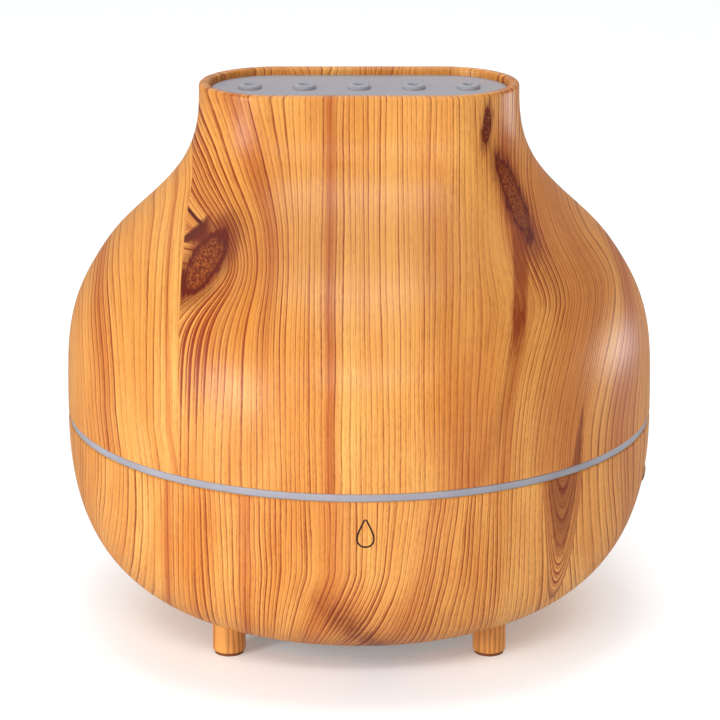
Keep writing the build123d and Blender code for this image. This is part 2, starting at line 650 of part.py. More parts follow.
with BuildPart() as fan_shaft:
    with Locations((FAN_X, 0, FAN_BOTTOM + 0.8)):
        Cylinder(SHAFT_RADIUS, FAN_DEPTH - 2.2, align=ON_BASE)

with BuildPart() as fan_magnet:
    with Locations((FAN_X, 0, FAN_BOTTOM + 2)):
        Cylinder(HUB_RADIUS - HUB_WALL, MAGNET_HEIGHT, align=ON_BASE)
        Cylinder(HUB_RADIUS - HUB_WALL - MAGNET_THICKNESS, 3 * MAGNET_HEIGHT, mode=Mode.SUBTRACT)

fan_screw = screw(2.6, 1.8, FAN_SCREW_RADIUS, FAN_DEPTH + 3)
with BuildPart() as fan_screws:
    with Locations((FAN_X, 0, FAN_BOTTOM)):
        with GridLocations(FAN_SCREW_PITCH, FAN_SCREW_PITCH, 2, 2):
            add(fan_screw)


# ---------------------------------------------------------------- driver board
with BuildPart() as driver_board:
    with Locations((BOARD_X, 0, BOARD_BOTTOM)):
        Box(BOARD_LENGTH, BOARD_WIDTH, BOARD_THICKNESS, align=ON_BASE)
        with GridLocations(BOARD_SCREW_X, BOARD_SCREW_Y, 2, 2):
            Hole(BOARD_HOLE_RADIUS, 2 * BOARD_THICKNESS)

with BuildPart() as driver_inductor:
    with Locations((*INDUCTOR_PLACE, BOARD_TOP)):
        Cylinder(INDUCTOR_RADIUS, INDUCTOR_CHEEK, align=ON_BASE)
        Cylinder(INDUCTOR_WAIST, INDUCTOR_HEIGHT, align=ON_BASE)
    with Locations((*INDUCTOR_PLACE, BOARD_TOP + INDUCTOR_HEIGHT)):
        Cylinder(INDUCTOR_RADIUS, INDUCTOR_CHEEK, align=HANGING)

with BuildPart() as driver_capacitors:
    with Locations(*[(x, y, BOARD_TOP) for x, y in CAPACITOR_PLACES]):
        Cylinder(CAPACITOR_RADIUS, CAPACITOR_HEIGHT, align=ON_BASE)
    fillet(driver_capacitors.edges().group_by(Axis.Z)[-1], 0.5)

with BuildPart() as driver_heatsink:
    with Locations((*HEATSINK_PLACE, BOARD_TOP)):
        Box(*HEATSINK_SIZE, align=ON_BASE)
        with GridLocations(FIN_PITCH, 0, FIN_COUNT, 1):
            Box(*FIN_SIZE, align=(Align.CENTER, Align.MIN, Align.MIN))

with BuildPart() as driver_transistor:
    with Locations((*TRANSISTOR_PLACE, BOARD_TOP + TRANSISTOR_LIFT)):
        Box(*TRANSISTOR_SIZE, align=ON_BASE)
    with Locations((TRANSISTOR_PLACE[0], HEATSINK_PLACE[1] - 1, BOARD_TOP + TRANSISTOR_LIFT)):
        Box(
            TRANSISTOR_TAB[0],
            TRANSISTOR_TAB[1],
            TRANSISTOR_SIZE[2] + TRANSISTOR_TAB[2],
            align=(Align.CENTER, Align.MAX, Align.MIN),
        )
    with Locations((*TRANSISTOR_PLACE, BOARD_TOP)):
        with GridLocations(LEG_PITCH, 0, 3, 1):
            Box(*LEG_SIZE, align=ON_BASE)

with BuildPart() as control_chip:
    with Locations((*CHIP_PLACE, BOARD_TOP)):
        Box(*CHIP_SIZE, align=ON_BASE)

with BuildPart() as board_headers:
    with Locations(*[(x, y, BOARD_TOP) for x, y in HEADER_PLACES]):
        Box(*HEADER_SIZE, align=ON_BASE)

board_screw = screw(2.4, 1.5, BOARD_SCREW_RADIUS, BOARD_THICKNESS + 4.5)
with BuildPart() as board_screws:
    with Locations((BOARD_X, 0, BOARD_TOP)):
        with GridLocations(BOARD_SCREW_X, BOARD_SCREW_Y, 2, 2):
            add(board_screw, rotation=(180, 0, 0))


# ---------------------------------------------------------------- lights
with BuildPart() as led_board:
    with BuildSketch(Plane.XY.offset(LED_BOARD_BOTTOM)):
        Circle(LED_BOARD_OUTER)
        Circle(LED_BOARD_INNER, mode=Mode.SUBTRACT)
    extrude(amount=BOARD_THICKNESS)

with BuildPart() as leds:
    with Locations((0, 0, LED_BOARD_BOTTOM + BOARD_THICKNESS)):
        with PolarLocations(0.5 * (LIP_INNER + LIP_OUTER) - 1.2, LED_COUNT, start_angle=15):
            Box(*LED_SIZE, align=ON_BASE)


# ---------------------------------------------------------------- power socket
with BuildPart() as dc_jack:
    with BuildSketch(Plane.XZ.offset(-JACK_SEAT)):
        with Locations((0, JACK_HEIGHT)):
            Circle(JACK_FLANGE_RADIUS)
    extrude(amount=-JACK_FLANGE)
    with BuildSketch(Plane.XZ.offset(-JACK_SEAT)):
        with Locations((0, JACK_HEIGHT)):
            Circle(JACK_RADIUS)
    extrude(amount=JACK_LENGTH)
    with BuildSketch(Plane.XZ.offset(-JACK_SEAT - JACK_FLANGE)):
        with Locations((0, JACK_HEIGHT)):
            Circle(JACK_BORE_RADIUS)
            Circle(JACK_PIN_RADIUS, mode=Mode.SUBTRACT)
    extrude(amount=JACK_BORE_DEPTH, mode=Mode.SUBTRACT)
    with BuildSketch(Plane.XZ.offset(JACK_LENGTH - JACK_SEAT)):
        with Locations((-JACK_TAB_SPREAD, JACK_HEIGHT), (JACK_TAB_SPREAD, JACK_HEIGHT)):
            Rectangle(*JACK_TAB)
    extrude(amount=JACK_TAB_LENGTH)

with BuildPart() as jack_nut:
    with BuildSketch(Plane.XZ.offset(-JACK_INNER_FACE)):
        with Locations((0, JACK_HEIGHT)):
            RegularPolygon(NUT_RADIUS, 6)
            Circle(JACK_RADIUS + 0.02, mode=Mode.SUBTRACT)
    extrude(amount=NUT_THICKNESS)


# ---------------------------------------------------------------- buttons
def button(side):
    """Push button: a pill-shaped cap through the bowl's wall with a flange behind it."""
    with BuildPart() as cap:
        with BuildSketch(button_plane.offset(FLANGE_FACE)):
            with Locations((side * BUTTON_SPACING / 2, 0)):
                SlotCenterToCenter(BUTTON_LENGTH - BUTTON_WIDTH, BUTTON_WIDTH)
        extrude(amount=12)
        add(bowl_proud, mode=Mode.INTERSECT)
        chamfer(cap.faces().sort_by(button_axis)[-1].edges(), 0.3)
    with BuildPart() as flange:
        with BuildSketch(button_plane.offset(FLANGE_FACE)):
            with Locations((side * BUTTON_SPACING / 2, 0)):
                SlotCenterToCenter(BUTTON_LENGTH - BUTTON_WIDTH, BUTTON_WIDTH + 2 * BUTTON_FLANGE)
        extrude(amount=12)
        add(bowl_behind, mode=Mode.INTERSECT)
    with BuildPart() as whole:
        add(cap.part)
        add(flange.part)
    return whole


bowl_proud = bowl_body(-BUTTON_PROUD)
bowl_behind = bowl_body(WALL + BUTTON_TRAVEL_GAP)
button_axis = Axis((0, 0, BUTTON_HEIGHT), button_plane.z_dir)
mist_button = button(-1)
light_button = button(1)

with BuildPart() as button_board:
    with BuildSketch(button_plane.offset(SWITCH_FACE)):
        with Locations((0, -BUTTON_BOARD_DROP)):
            Rectangle(*BUTTON_BOARD_SIZE)
        with GridLocations(BUTTON_SCREW_PITCH, 0, 2, 1):
            Circle(BUTTON_SCREW_RADIUS + BUTTON_GAP, mode=Mode.SUBTRACT)
    extrude(amount=-BOARD_THICKNESS)

with BuildPart() as tact_switches:
    with BuildSketch(button_plane.offset(SWITCH_FACE)):
        with GridLocations(BUTTON_SPACING, 0, 2, 1):
            Rectangle(SWITCH_SIZE, SWITCH_SIZE)
    extrude(amount=SWITCH_HEIGHT)
    with BuildSketch(button_plane.offset(SWITCH_FACE + SWITCH_HEIGHT)):
        with GridLocations(BUTTON_SPACING, 0, 2, 1):
            Circle(SWITCH_STEM_RADIUS)
    extrude(amount=SWITCH_STEM_HEIGHT)

button_screw = screw(2, 1.3, BUTTON_SCREW_RADIUS, BOARD_THICKNESS + 4.4)
with BuildPart() as button_board_screws:
    with Locations(button_plane.offset(SWITCH_FACE - BOARD_THICKNESS)):
        with GridLocations(BUTTON_SCREW_PITCH, 0, 2, 1):
            add(button_screw)


# ---------------------------------------------------------------- bottom cover
with BuildPart() as bottom_cover:
    with Locations((0, 0, FLOOR_HEIGHT)):
        Cylinder(COVER_DISC_RADIUS, COVER_DISC_THICKNESS, align=ON_BASE)
    with Locations((BOARD_X, 0, COVER_DISC_TOP)):
        with GridLocations(BOARD_SCREW_X, BOARD_SCREW_Y, 2, 2):
            Cylinder(BOARD_POST_RADIUS, BOARD_BOTTOM - COVER_DISC_TOP, align=ON_BASE)
    with Locations((BOARD_X, 0, BOARD_BOTTOM)):
        with GridLocations(BOARD_SCREW_X, BOARD_SCREW_Y, 2, 2):
            Cylinder(BOARD_SCREW_RADIUS + 0.05, 5, align=HANGING, mode=Mode.SUBTRACT)
    with Locations((0, 0, FLOOR_HEIGHT)):
        with PolarLocations(COVER_SCREW_CIRCLE, 3, start_angle=90):
            Cone(
                COVER_SCREW_HEAD + COVER_SCREW_GAP,
                COVER_HOLE_RADIUS,
                COVER_SCREW_SINK,
                align=ON_BASE,
                mode=Mode.SUBTRACT,
            )
            Cylinder(COVER_HOLE_RADIUS, COVER_DISC_THICKNESS, align=ON_BASE, mode=Mode.SUBTRACT)
    with BuildSketch():
        with Locations((SLOT_X, 0)):
            with GridLocations(SLOT_PITCH, 0, SLOT_COUNT, 1):
                SlotCenterToCenter(SLOT_LENGTH, SLOT_WIDTH, rotation=90)
    extrude(amount=COVER_DISC_TOP, mode=Mode.SUBTRACT)

with BuildPart() as bottom_screws:
    with Locations((0, 0, FLOOR_HEIGHT)):
        with PolarLocations(COVER_SCREW_CIRCLE, 3, start_angle=90):
            Cone(COVER_SCREW_HEAD, COVER_SCREW_RADIUS, COVER_SCREW_SINK, align=ON_BASE)
            Cylinder(COVER_SCREW_RADIUS, COVER_SCREW_LENGTH, align=ON_BASE)


# ---------------------------------------------------------------- feet
def foot(x, y):
    """Round wooden peg, bored for its screw from below."""
    with BuildPart() as peg:
        with Locations((x, y, PAD_HEIGHT)):
            Cylinder(FOOT_RADIUS, FOOT_TOP - PAD_HEIGHT, align=ON_BASE)
        fillet(peg.edges().group_by(Axis.Z)[0], FOOT_ROUNDING)
        with Locations((x, y, PAD_HEIGHT)):
            Cylinder(FOOT_SCREW_SEAT, FOOT_SCREW_SINK, align=ON_BASE, mode=Mode.SUBTRACT)
            Cylinder(FOOT_HOLE_RADIUS, FOOT_TOP, align=ON_BASE, mode=Mode.SUBTRACT)
    return peg


feet = {name: foot(x, y) for name, (x, y) in FOOT_PLACES.items()}

with BuildPart() as foot_pads:
    with Locations(*FOOT_PLACES.values()):
        Cylinder(FOOT_RADIUS - 0.6, PAD_HEIGHT, align=ON_BASE)

foot_screw = screw(2.8, 2.1, FOOT_SCREW_RADIUS, 21)
with BuildPart() as foot_screws:
    with Locations(*[(x, y, PAD_HEIGHT + FOOT_SCREW_SINK) for x, y in FOOT_PLACES.values()]):
        add(foot_screw)


# ---------------------------------------------------------------- leads
HEADER_TOP = BOARD_TOP + HEADER_SIZE[2]
LEAD_LEVEL = BOARD_TOP + 3
JACK_TAB_END = JACK_SEAT - JACK_LENGTH - JACK_TAB_LENGTH
BUTTON_BOARD_PLUG = (4, -6.8)
LIGHT_LEAD_X = 18

FAN_LEAD_LEVEL = FAN_BOTTOM + FAN_DEPTH / 2
fan_leads = lead_pair(
    [
        (FAN_X + FAN_SIZE / 2, -8, FAN_LEAD_LEVEL),
        (-5, -8, FAN_LEAD_LEVEL),
        (-5, -8, HEADER_TOP),
    ],
    (0, 2, 0),
)
atomizer_leads = lead_pair(
    [(3, 0, DISC_BOTTOM), (3, 0, 28.5), (-5, 0, 28.5), (-5, 0, HEADER_TOP)], (0, 2.4, 0)
)
power_leads = lead_pair(
    [
        (0, JACK_TAB_END, JACK_HEIGHT),
        (0, 46, JACK_HEIGHT),
        (2, 35, LEAD_LEVEL),
        (2, 21.9, LEAD_LEVEL),
    ],
    (2 * JACK_TAB_SPREAD, 0, 0),
)
board_back = button_plane.offset(SWITCH_FACE - BOARD_THICKNESS)
switch_leads = lead_pair(
    [
        board_back.from_local_coords((*BUTTON_BOARD_PLUG, 0)),
        board_back.from_local_coords((*BUTTON_BOARD_PLUG, -12)),
        (46, 13, 26),
        (40, 13, LEAD_LEVEL),
        (31.4, 13, LEAD_LEVEL),
    ],
    board_back.x_dir * 2,
)
led_leads = lead_pair(
    [
        (LIGHT_LEAD_X, -74.2, LED_BOARD_BOTTOM),
        (LIGHT_LEAD_X, -74.2, 37),
        (LIGHT_LEAD_X, -62, 28),
        (LIGHT_LEAD_X, -48, 22),
        (LIGHT_LEAD_X, -35, LEAD_LEVEL),
        (LIGHT_LEAD_X, -21.9, LEAD_LEVEL),
    ],
    (2, 0, 0),
)


# ---------------------------------------------------------------- one STEP file for each piece
pieces = {
    "cover_shell": cover_shell,
    "mist_plate": mist_plate,
    "mist_guide": mist_guide,
    "guide_screws": guide_screws,
    "base_shell": base_shell,
    "light_ring": light_ring,
    "water_tank": water_tank,
    "duct_cap": duct_cap,
    "atomizer_disc": atomizer_disc,
    "atomizer_seal": atomizer_seal,
    "atomizer_retainer": atomizer_retainer,
    "retainer_screws": retainer_screws,
    "fan_frame": fan_frame,
    "fan_bearing": fan_bearing,
    "fan_stator": fan_stator,
    "fan_rotor": fan_rotor,
    "fan_shaft": fan_shaft,
    "fan_magnet": fan_magnet,
    "fan_screws": fan_screws,
    "driver_board": driver_board,
    "driver_inductor": driver_inductor,
    "driver_capacitors": driver_capacitors,
    "driver_heatsink": driver_heatsink,
    "driver_transistor": driver_transistor,
    "control_chip": control_chip,
    "board_headers": board_headers,
    "board_screws": board_screws,
    "led_board": led_board,
    "leds": leds,
    "dc_jack": dc_jack,
    "jack_nut": jack_nut,
    "mist_button": mist_button,
    "light_button": light_button,
    "button_board": button_board,
    "tact_switches": tact_switches,
    "button_board_screws": button_board_screws,
    "bottom_cover": bottom_cover,
    "bottom_screws": bottom_screws,
    **feet,
    "foot_pads": foot_pads,
    "foot_screws": foot_screws,
    "fan_leads": fan_leads,
    "atomizer_leads": atomizer_leads,
    "power_leads": power_leads,
    "switch_leads": switch_leads,
    "led_leads": led_leads,
}

os.makedirs("parts", exist_ok=True)
for name, piece in pieces.items():
    piece.part.label = name
    export_step(piece.part, f"parts/{name}.step")
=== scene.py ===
import math

import bmesh
import bpy
import numpy as np
from mathutils import Matrix, Vector


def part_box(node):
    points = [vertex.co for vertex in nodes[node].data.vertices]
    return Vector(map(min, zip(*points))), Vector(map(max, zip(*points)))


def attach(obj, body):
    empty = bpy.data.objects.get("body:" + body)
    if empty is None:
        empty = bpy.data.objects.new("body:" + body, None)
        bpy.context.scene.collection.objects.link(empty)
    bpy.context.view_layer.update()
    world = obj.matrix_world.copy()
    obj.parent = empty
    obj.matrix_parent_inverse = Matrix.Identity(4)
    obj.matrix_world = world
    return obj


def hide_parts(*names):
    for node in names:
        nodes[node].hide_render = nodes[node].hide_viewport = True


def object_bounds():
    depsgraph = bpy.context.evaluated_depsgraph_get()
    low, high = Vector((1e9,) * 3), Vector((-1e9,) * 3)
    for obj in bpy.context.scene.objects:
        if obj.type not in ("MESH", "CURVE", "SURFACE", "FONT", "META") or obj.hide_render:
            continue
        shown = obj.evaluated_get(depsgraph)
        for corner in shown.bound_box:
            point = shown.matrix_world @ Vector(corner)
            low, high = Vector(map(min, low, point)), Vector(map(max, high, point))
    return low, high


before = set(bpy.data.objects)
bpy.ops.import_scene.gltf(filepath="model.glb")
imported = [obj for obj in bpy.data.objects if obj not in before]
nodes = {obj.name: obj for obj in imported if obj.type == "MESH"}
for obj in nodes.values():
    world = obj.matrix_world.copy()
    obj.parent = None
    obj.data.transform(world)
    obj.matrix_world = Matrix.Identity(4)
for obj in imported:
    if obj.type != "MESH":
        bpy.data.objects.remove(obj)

cad_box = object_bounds()
MM = 0.001

# ---------------------------------------------------------------- driving sizes, in millimetres
low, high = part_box("cover_shell")
RIM_TOP = high[2] / MM
SEAM_TOP = low[2] / MM
SEAM_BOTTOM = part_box("base_shell")[1][2] / MM
BODY_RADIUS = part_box("base_shell")[1][1] / MM
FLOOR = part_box("bottom_cover")[0][2] / MM
PLATE_BOTTOM = RIM_TOP - 5
LEDGE_BOTTOM = RIM_TOP - 7.5
RIM_HALF_LENGTH = 45.7
RIM_END_RADIUS = 22
WALL = 3
COVER_DROP = 1.7
LEDGE_WIDTH = 2.4
RIM_ROUNDING = 1.1
EDGE = 0.4

# cover: heights and half widths of its sections, from the ring to the rim
COVER_SECTIONS = (
    (SEAM_TOP, 85),
    (78, 84.8),
    (90, 83.6),
    (100, 80.4),
    (108, 76),
    (116, 70.1),
    (124, 61.9),
    (134, 52.5),
    (146, 46.8),
    (RIM_TOP, RIM_HALF_LENGTH),
)

# bowl fittings
FEET = ("foot_front_left", "foot_front_right", "foot_back_left", "foot_back_right")
FOOT_BOSS_RADIUS = 7.5
FOOT_BOSS_TOP = 16
COVER_BOSS_RADIUS = 3
COVER_BOSS_TOP = 14.5
COVER_BOSS_CIRCLE = 42.2
COVER_SCREW_TURNS = (math.radians(90), math.radians(210), math.radians(330))
BUTTON_TURN = math.radians(7)
BUTTON_WAY = (math.cos(BUTTON_TURN), math.sin(BUTTON_TURN), 0)
BUTTON_HEIGHT = 42.4
BUTTON_LENGTH = 11
BUTTON_WIDTH = 4.4
BUTTON_SPREAD = 10
BUTTON_BOSS_RADIUS = 2.5
BUTTON_BOSS_FACE = 71.6
BUTTON_BOSS_PITCH = 41
JACK_HEIGHT = 31
JACK_SEAT = 76
JACK_BOSS_RADIUS = 7.5
JACK_BOSS_FACE = 72.5
JACK_RECESS_RADIUS = 5.5
JACK_HOLE_RADIUS = 4.05
JACK_HOLE_START = 60
FOOT_GAP = 0.1
BUTTON_GAP = 0.5
BUTTON_SLOT_START = 70
POST_END = 80
BELOW_FEET = -20
OUTSIDE = 95
UPWARDS = (0, 0, 1)
BACKWARDS = (0, 1, 0)

# bowl: control points of its side curve, as radius and height
# and how each moves for an inset of 1
BOWL_CURVE = (
    (BODY_RADIUS, SEAM_BOTTOM),
    (BODY_RADIUS, 43.2),
    (82.3, 17.6),
    (61.2, FLOOR),
    (40, FLOOR),
)
BOWL_INSET = ((-1, 0), (-1, 0), (-0.87, 0.63), (-0.25, 1), (0, 1))

# bowl: the step that holds the bottom cover, the collar round it and the LED board's shelf
HATCH_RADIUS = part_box("bottom_cover")[1][0] / MM + 0.1
STEP_RADIUS = 39.5
STEP_TOP = FLOOR + 2
COLLAR_RADIUS = 46.5
COLLAR_TOP = FLOOR + 5
SHELF_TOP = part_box("led_board")[0][2] / MM
SHELF_RADIUS = 78.4
SHELF_THICKNESS = 2

# printed droplet: where its middle lies on the film, and its shape
MARK_ACROSS = 1.7
MARK_UP = 53.2
MARK_HALF_WIDTH = 2.9
MARK_HALF_HEIGHT = 3.9
MARK_TAPER = 1.6
MARK_LINE = 0.5
MARK_RELIEF = 0.05
MARK_ROOT = -0.2
MARK_STEPS = 72

# fineness of the shells' meshes
COLUMNS = 384
COVER_ROWS = 110
COVER_INNER_ROWS = 60
BOWL_ROWS = 90
BOWL_INNER_ROWS = 60
ROD_SIDES = 48
SHARP_ANGLE = math.radians(40)


def rgb(red, green, blue):
    """A screen colour from 0 to 255 as linear light."""
    return tuple((part / 255) ** 2.2 for part in (red, green, blue)) + (1.0,)


# ---------------------------------------------------------------- formulas over a surface
class Field:
    """A number that varies over a surface. It holds one node socket, so that a pattern can be
    written as a formula."""

    def __init__(self, tree, socket):
        self.tree = tree
        self.socket = socket

    def math(self, operation, *others):
        node = self.tree.nodes.new("ShaderNodeMath")
        node.operation = operation
        for place, value in enumerate((self,) + others):
            if isinstance(value, Field):
                self.tree.links.new(value.socket, node.inputs[place])
            else:
                node.inputs[place].default_value = value
        return Field(self.tree, node.outputs[0])

    def __add__(self, other):
        return self.math("ADD", other)

    def __sub__(self, other):
        return self.math("SUBTRACT", other)

    def __mul__(self, other):
        return self.math("MULTIPLY", other)

    def __truediv__(self, other):
        return self.math("DIVIDE", other)

    def flip(self):
        """One minus this."""
        return (self * -1) + 1

    def sign(self):
        return self.math("SIGN")

    def size(self):
        return self.math("ABSOLUTE")

    def squared(self):
        return self * self

    def power(self, exponent):
        return self.math("POWER", exponent)

    def held(self, least=0.0, most=1.0):
        """Kept between two numbers."""
        return self.math("MAXIMUM", least).math("MINIMUM", most)

    def bell(self, middle, width):
        """One at the middle, falling to nothing over a few widths."""
        return (((self - middle) / width).squared() * -1).math("EXPONENT")

    def rise(self, start, end):
        """Nothing before start, one after end, smooth between. end may be below start."""
        node = self.tree.nodes.new("ShaderNodeMapRange")
        node.interpolation_type = "SMOOTHSTEP"
        self.tree.links.new(self.socket, node.inputs["Value"])
        node.inputs["From Min"].default_value = min(start, end)
        node.inputs["From Max"].default_value = max(start, end)
        node.inputs["To Min"].default_value = 0.0 if end > start else 1.0
        node.inputs["To Max"].default_value = 1.0 if end > start else 0.0
        return Field(self.tree, node.outputs[0])


def combine(tree, across, along, depth=0.0):
    """A point from up to three fields or numbers."""
    node = tree.nodes.new("ShaderNodeCombineXYZ")
    for place, value in enumerate((across, along, depth)):
        if isinstance(value, Field):
            tree.links.new(value.socket, node.inputs[place])
        else:
            node.inputs[place].default_value = value
    return node.outputs[0]


def noise(point, scale=1.0, detail=2.0, roughness=0.5):
    """Smooth noise about nought, from about -0.5 to 0.5."""
    tree = point.node.id_data
    node = tree.nodes.new("ShaderNodeTexNoise")
    tree.links.new(point, node.inputs["Vector"])
    node.inputs["Scale"].default_value = scale
    node.inputs["Detail"].default_value = detail
    node.inputs["Roughness"].default_value = roughness
    return Field(tree, node.outputs["Fac"]) - 0.5


def cells(point, scale=1.0):
    """Distance to the nearest of many scattered points."""
    tree = point.node.id_data
    node = tree.nodes.new("ShaderNodeTexVoronoi")
    tree.links.new(point, node.inputs["Vector"])
    node.inputs["Scale"].default_value = scale
    return Field(tree, node.outputs["Distance"])


def blend(factor, first, second):
    """Colour between two colours, each a socket or four numbers."""
    tree = factor.tree
    node = tree.nodes.new("ShaderNodeMix")
    node.data_type = "RGBA"
    node.clamp_factor = True
    tree.links.new(factor.socket, node.inputs[0])
    for place, value in ((6, first), (7, second)):
        if isinstance(value, tuple):
            node.inputs[place].default_value = value
        else:
            tree.links.new(value, node.inputs[place])
    return node.outputs[2]


def new_material(name, **numbers):
    """An empty Principled material with uniform numbers set on its own sockets."""
    material = bpy.data.materials.new(name)
    material.use_nodes = True
    shader = material.node_tree.nodes["Principled BSDF"]
    for socket, value in numbers.items():
        shader.inputs[socket.replace("_", " ")].default_value = value
    return material, material.node_tree, shader


def coat(tree, shader, colour, roughness, height, distance, strength):
    """Gives a surface its colour, roughness and bump; distance is in metres."""
    tree.links.new(colour, shader.inputs["Base Color"])
    tree.links.new(roughness.socket, shader.inputs["Roughness"])
    bump = tree.nodes.new("ShaderNodeBump")
    bump.inputs["Distance"].default_value = distance
    bump.inputs["Strength"].default_value = strength
    tree.links.new(height.socket, bump.inputs["Height"])
    tree.links.new(bump.outputs[0], shader.inputs["Normal"])


def place_in(tree, scale=1 / MM):
    """The object's own coordinates as a point and as three fields, in millimetres unless scaled
    otherwise."""
    coordinates = tree.nodes.new("ShaderNodeTexCoord")
    stretch = tree.nodes.new("ShaderNodeVectorMath")
    stretch.operation = "SCALE"
    stretch.inputs["Scale"].default_value = scale
    tree.links.new(coordinates.outputs["Object"], stretch.inputs[0])
    split = tree.nodes.new("ShaderNodeSeparateXYZ")
    tree.links.new(stretch.outputs[0], split.inputs[0])
    return stretch.outputs[0], [Field(tree, split.outputs[axis]) for axis in range(3)]


# ---------------------------------------------------------------- printed wood
WOOD_PALE = rgb(238, 170, 88)
WOOD_MID = rgb(210, 130, 52)
WOOD_RED = rgb(178, 88, 34)
WOOD_LINE = rgb(136, 50, 8)
WOOD_DARK = rgb(84, 22, 6)
STRIPE = rgb(136, 56, 18)
FLAME = rgb(116, 42, 16)
KNOT_SPECK = rgb(196, 108, 44)
SHEEN = 0.36
RING_SPACING = 1.5
SIDE_TURN = 20

# where the print's features lie on the film: across from the front middle, and up
SEAM_ACROSS = -52.4
SIDE_MIDDLE = 124
LEFT_ARCH_UP = 77
RIGHT_ARCH_UP = 65
STRIPE_ACROSS = 46.6
FLAME_ACROSS = 68.8
HEART_ACROSS = 61.2
HEART_TIP = 21

# knots: middle, direction of the long axis, and half lengths
LARGE_KNOT = ((-44.6, 118.2), (0.735, 0.678), (10.3, 4.1))
SLANTING_KNOT = ((46, 131.8), (0.5, -0.866), (11.5, 3.1))
RIM_KNOT = ((36.4, 150.5), (0.12, 0.993), (5.2, 1.5))


def film_place(tree):
    """Where a point lies on the printed film: across from the front middle, up, and behind."""
    grain = tree.nodes.new("ShaderNodeUVMap")
    grain.uv_map = "grain"
    split = tree.nodes.new("ShaderNodeSeparateXYZ")
    tree.links.new(grain.outputs[0], split.inputs[0])
    rear = tree.nodes.new("ShaderNodeUVMap")
    rear.uv_map = "rear"
    rear_split = tree.nodes.new("ShaderNodeSeparateXYZ")
    tree.links.new(rear.outputs[0], rear_split.inputs[0])
    across = Field(tree, split.outputs[0])
    up = Field(tree, split.outputs[1])
    behind = Field(tree, rear_split.outputs[0])
    return across, up, behind


def leaning(across, up, middle, along, half):
    """Distance from the middle of a leaning ellipse, one at its edge. along is the direction of
    its long axis, and half its two half lengths."""
    right, above = across - middle[0], up - middle[1]
    length = (right * along[0] + above * along[1]) / half[0]
    width = (right * along[1] - above * along[0]) / half[1]
    return (length.squared() + width.squared()).math("SQRT")


def swirl(across, up):
    """Grain that comes down from the left, wraps round the large knot and runs straight again
    below it. Nothing moves to the right of the starting line."""
    start, reach, push = -12, 1225, 11.5
    beyond = (across - start).math("MINIMUM", 0.0) * -1
    rising = (up - 126).math("MAXIMUM", 0.0)
    lean = rising.squared() / (rising + 8) * 0.052
    beyond = beyond - beyond.squared() * lean / ((lean + 1) * (beyond + 9))
    strength = up.bell(119, 10.5) * push + 0.01
    root = ((beyond * strength * (-4 / reach)) + 1.0).math("MAXIMUM", 0.0).math("SQRT")
    moved = root.flip() * (reach / 2) / strength
    return across.math("MAXIMUM", start) - moved


def drift(across, up, behind):
    """Slow wandering of the grain at the sides and behind them, so that the back isn't the
    front's mirror image."""
    place = combine(across.tree, across * 0.022 + 5.0, up * 0.018, behind * 2)
    reach = behind.rise(0.0, 0.3) * 34 + across.size().rise(92, 120) * 12
    return noise(place, detail=1.0) * reach


def grain_lines(line, up, behind, spacing):
    """Growth rings across the film: each darkens slowly and ends sharply, and no two have the
    same width or strength."""
    tree = line.tree
    uneven = noise(combine(tree, line * 0.07, up * 0.004, behind), detail=1.0) * 5.0
    phase = line / spacing + uneven
    number = phase.math("FLOOR")
    place = phase.math("FRACT")
    strength = noise(combine(tree, number * 3.7, up * 0.012, behind * 3), detail=1.0)
    strength = (strength * 2.6 + 0.72).held(0.25, 1.3)
    start = noise(combine(tree, number * 2.3 + 40.0, up * 0.01, behind), detail=0.0) * 0.7 + 0.4
    climb = ((place - start) / (start.flip() - 0.06)).held().power(1.5)
    fine = (place * 2.0).math("FRACT").rise(0.4, 0.95) * 0.4
    return (climb * place.rise(1.0, 0.93) + fine) * strength


def fibre(line, up, behind):
    """Fine streaks along the grain."""
    tree = line.tree
    long = noise(combine(tree, line * 2.2, up * 0.07, behind * 3), detail=3.0, roughness=0.75)
    short = noise(combine(tree, line * 3.4, up * 0.5, behind * 3 + 2.0), detail=2.0, roughness=0.7)
    return long + short * 0.7


def wood_colour(line, up, behind, lines, bands):
    """Pale wood with darker growth rings and streaks. bands is a field that reddens the wood."""
    tree = line.tree
    wide = noise(combine(tree, line * 0.05, up * 0.006, behind), detail=2.0)
    patch = noise(combine(tree, line * 0.09, up * 0.03, behind + 4.0), detail=2.0)
    colour = blend((wide * 2.4 + patch * 1.2 + 0.42), WOOD_PALE, WOOD_MID)
    colour = blend(bands.math("MINIMUM", 1.0), colour, WOOD_RED)
    strength = noise(combine(tree, line * 0.1, up * 0.014, behind + 9.0), detail=2.0) * 1.5 + 0.78
    streak = fibre(line, up, behind)
    darkness = lines * strength.math("MAXIMUM", 0.3) * (streak * 1.8 + 1.1)
    colour = blend(darkness, colour, WOOD_LINE)
    return blend((streak * 1.2 + 0.06).math("MAXIMUM", 0.0), colour, WOOD_LINE)


def knot_colour(colour, up, across, edge, ragged, heart):
    """Lays a dark granular knot over the wood colour. edge is one at its edge, ragged how far
    its edge frays, and heart how much of its inside is light."""
    tree = edge.tree
    grit = noise(combine(tree, across, up), scale=1.3, detail=4.0, roughness=0.8)
    spike = noise(combine(tree, across * 0.9, up * 0.16), detail=3.0) * ragged * 2.4
    rough_edge = edge + spike
    halo = rough_edge.rise(1.8, 0.95) * 0.65
    colour = blend(halo, colour, FLAME)
    rings = (rough_edge * 6.0 + grit * 2.6).math("FRACT").rise(0.3, 0.7)
    rim = (rough_edge + grit * 0.5).rise(0.6, 0.85)
    body = blend(grit * 1.6 + 0.35, WOOD_DARK, FLAME)
    light = (grit + heart * 0.3 - 0.2).rise(-0.12, 0.1) * (rings * -0.85 + 1.0) * rim.flip() * 0.85
    body = blend(light, body, KNOT_SPECK)
    return blend(rough_edge.rise(1.06, 0.92), colour, body)


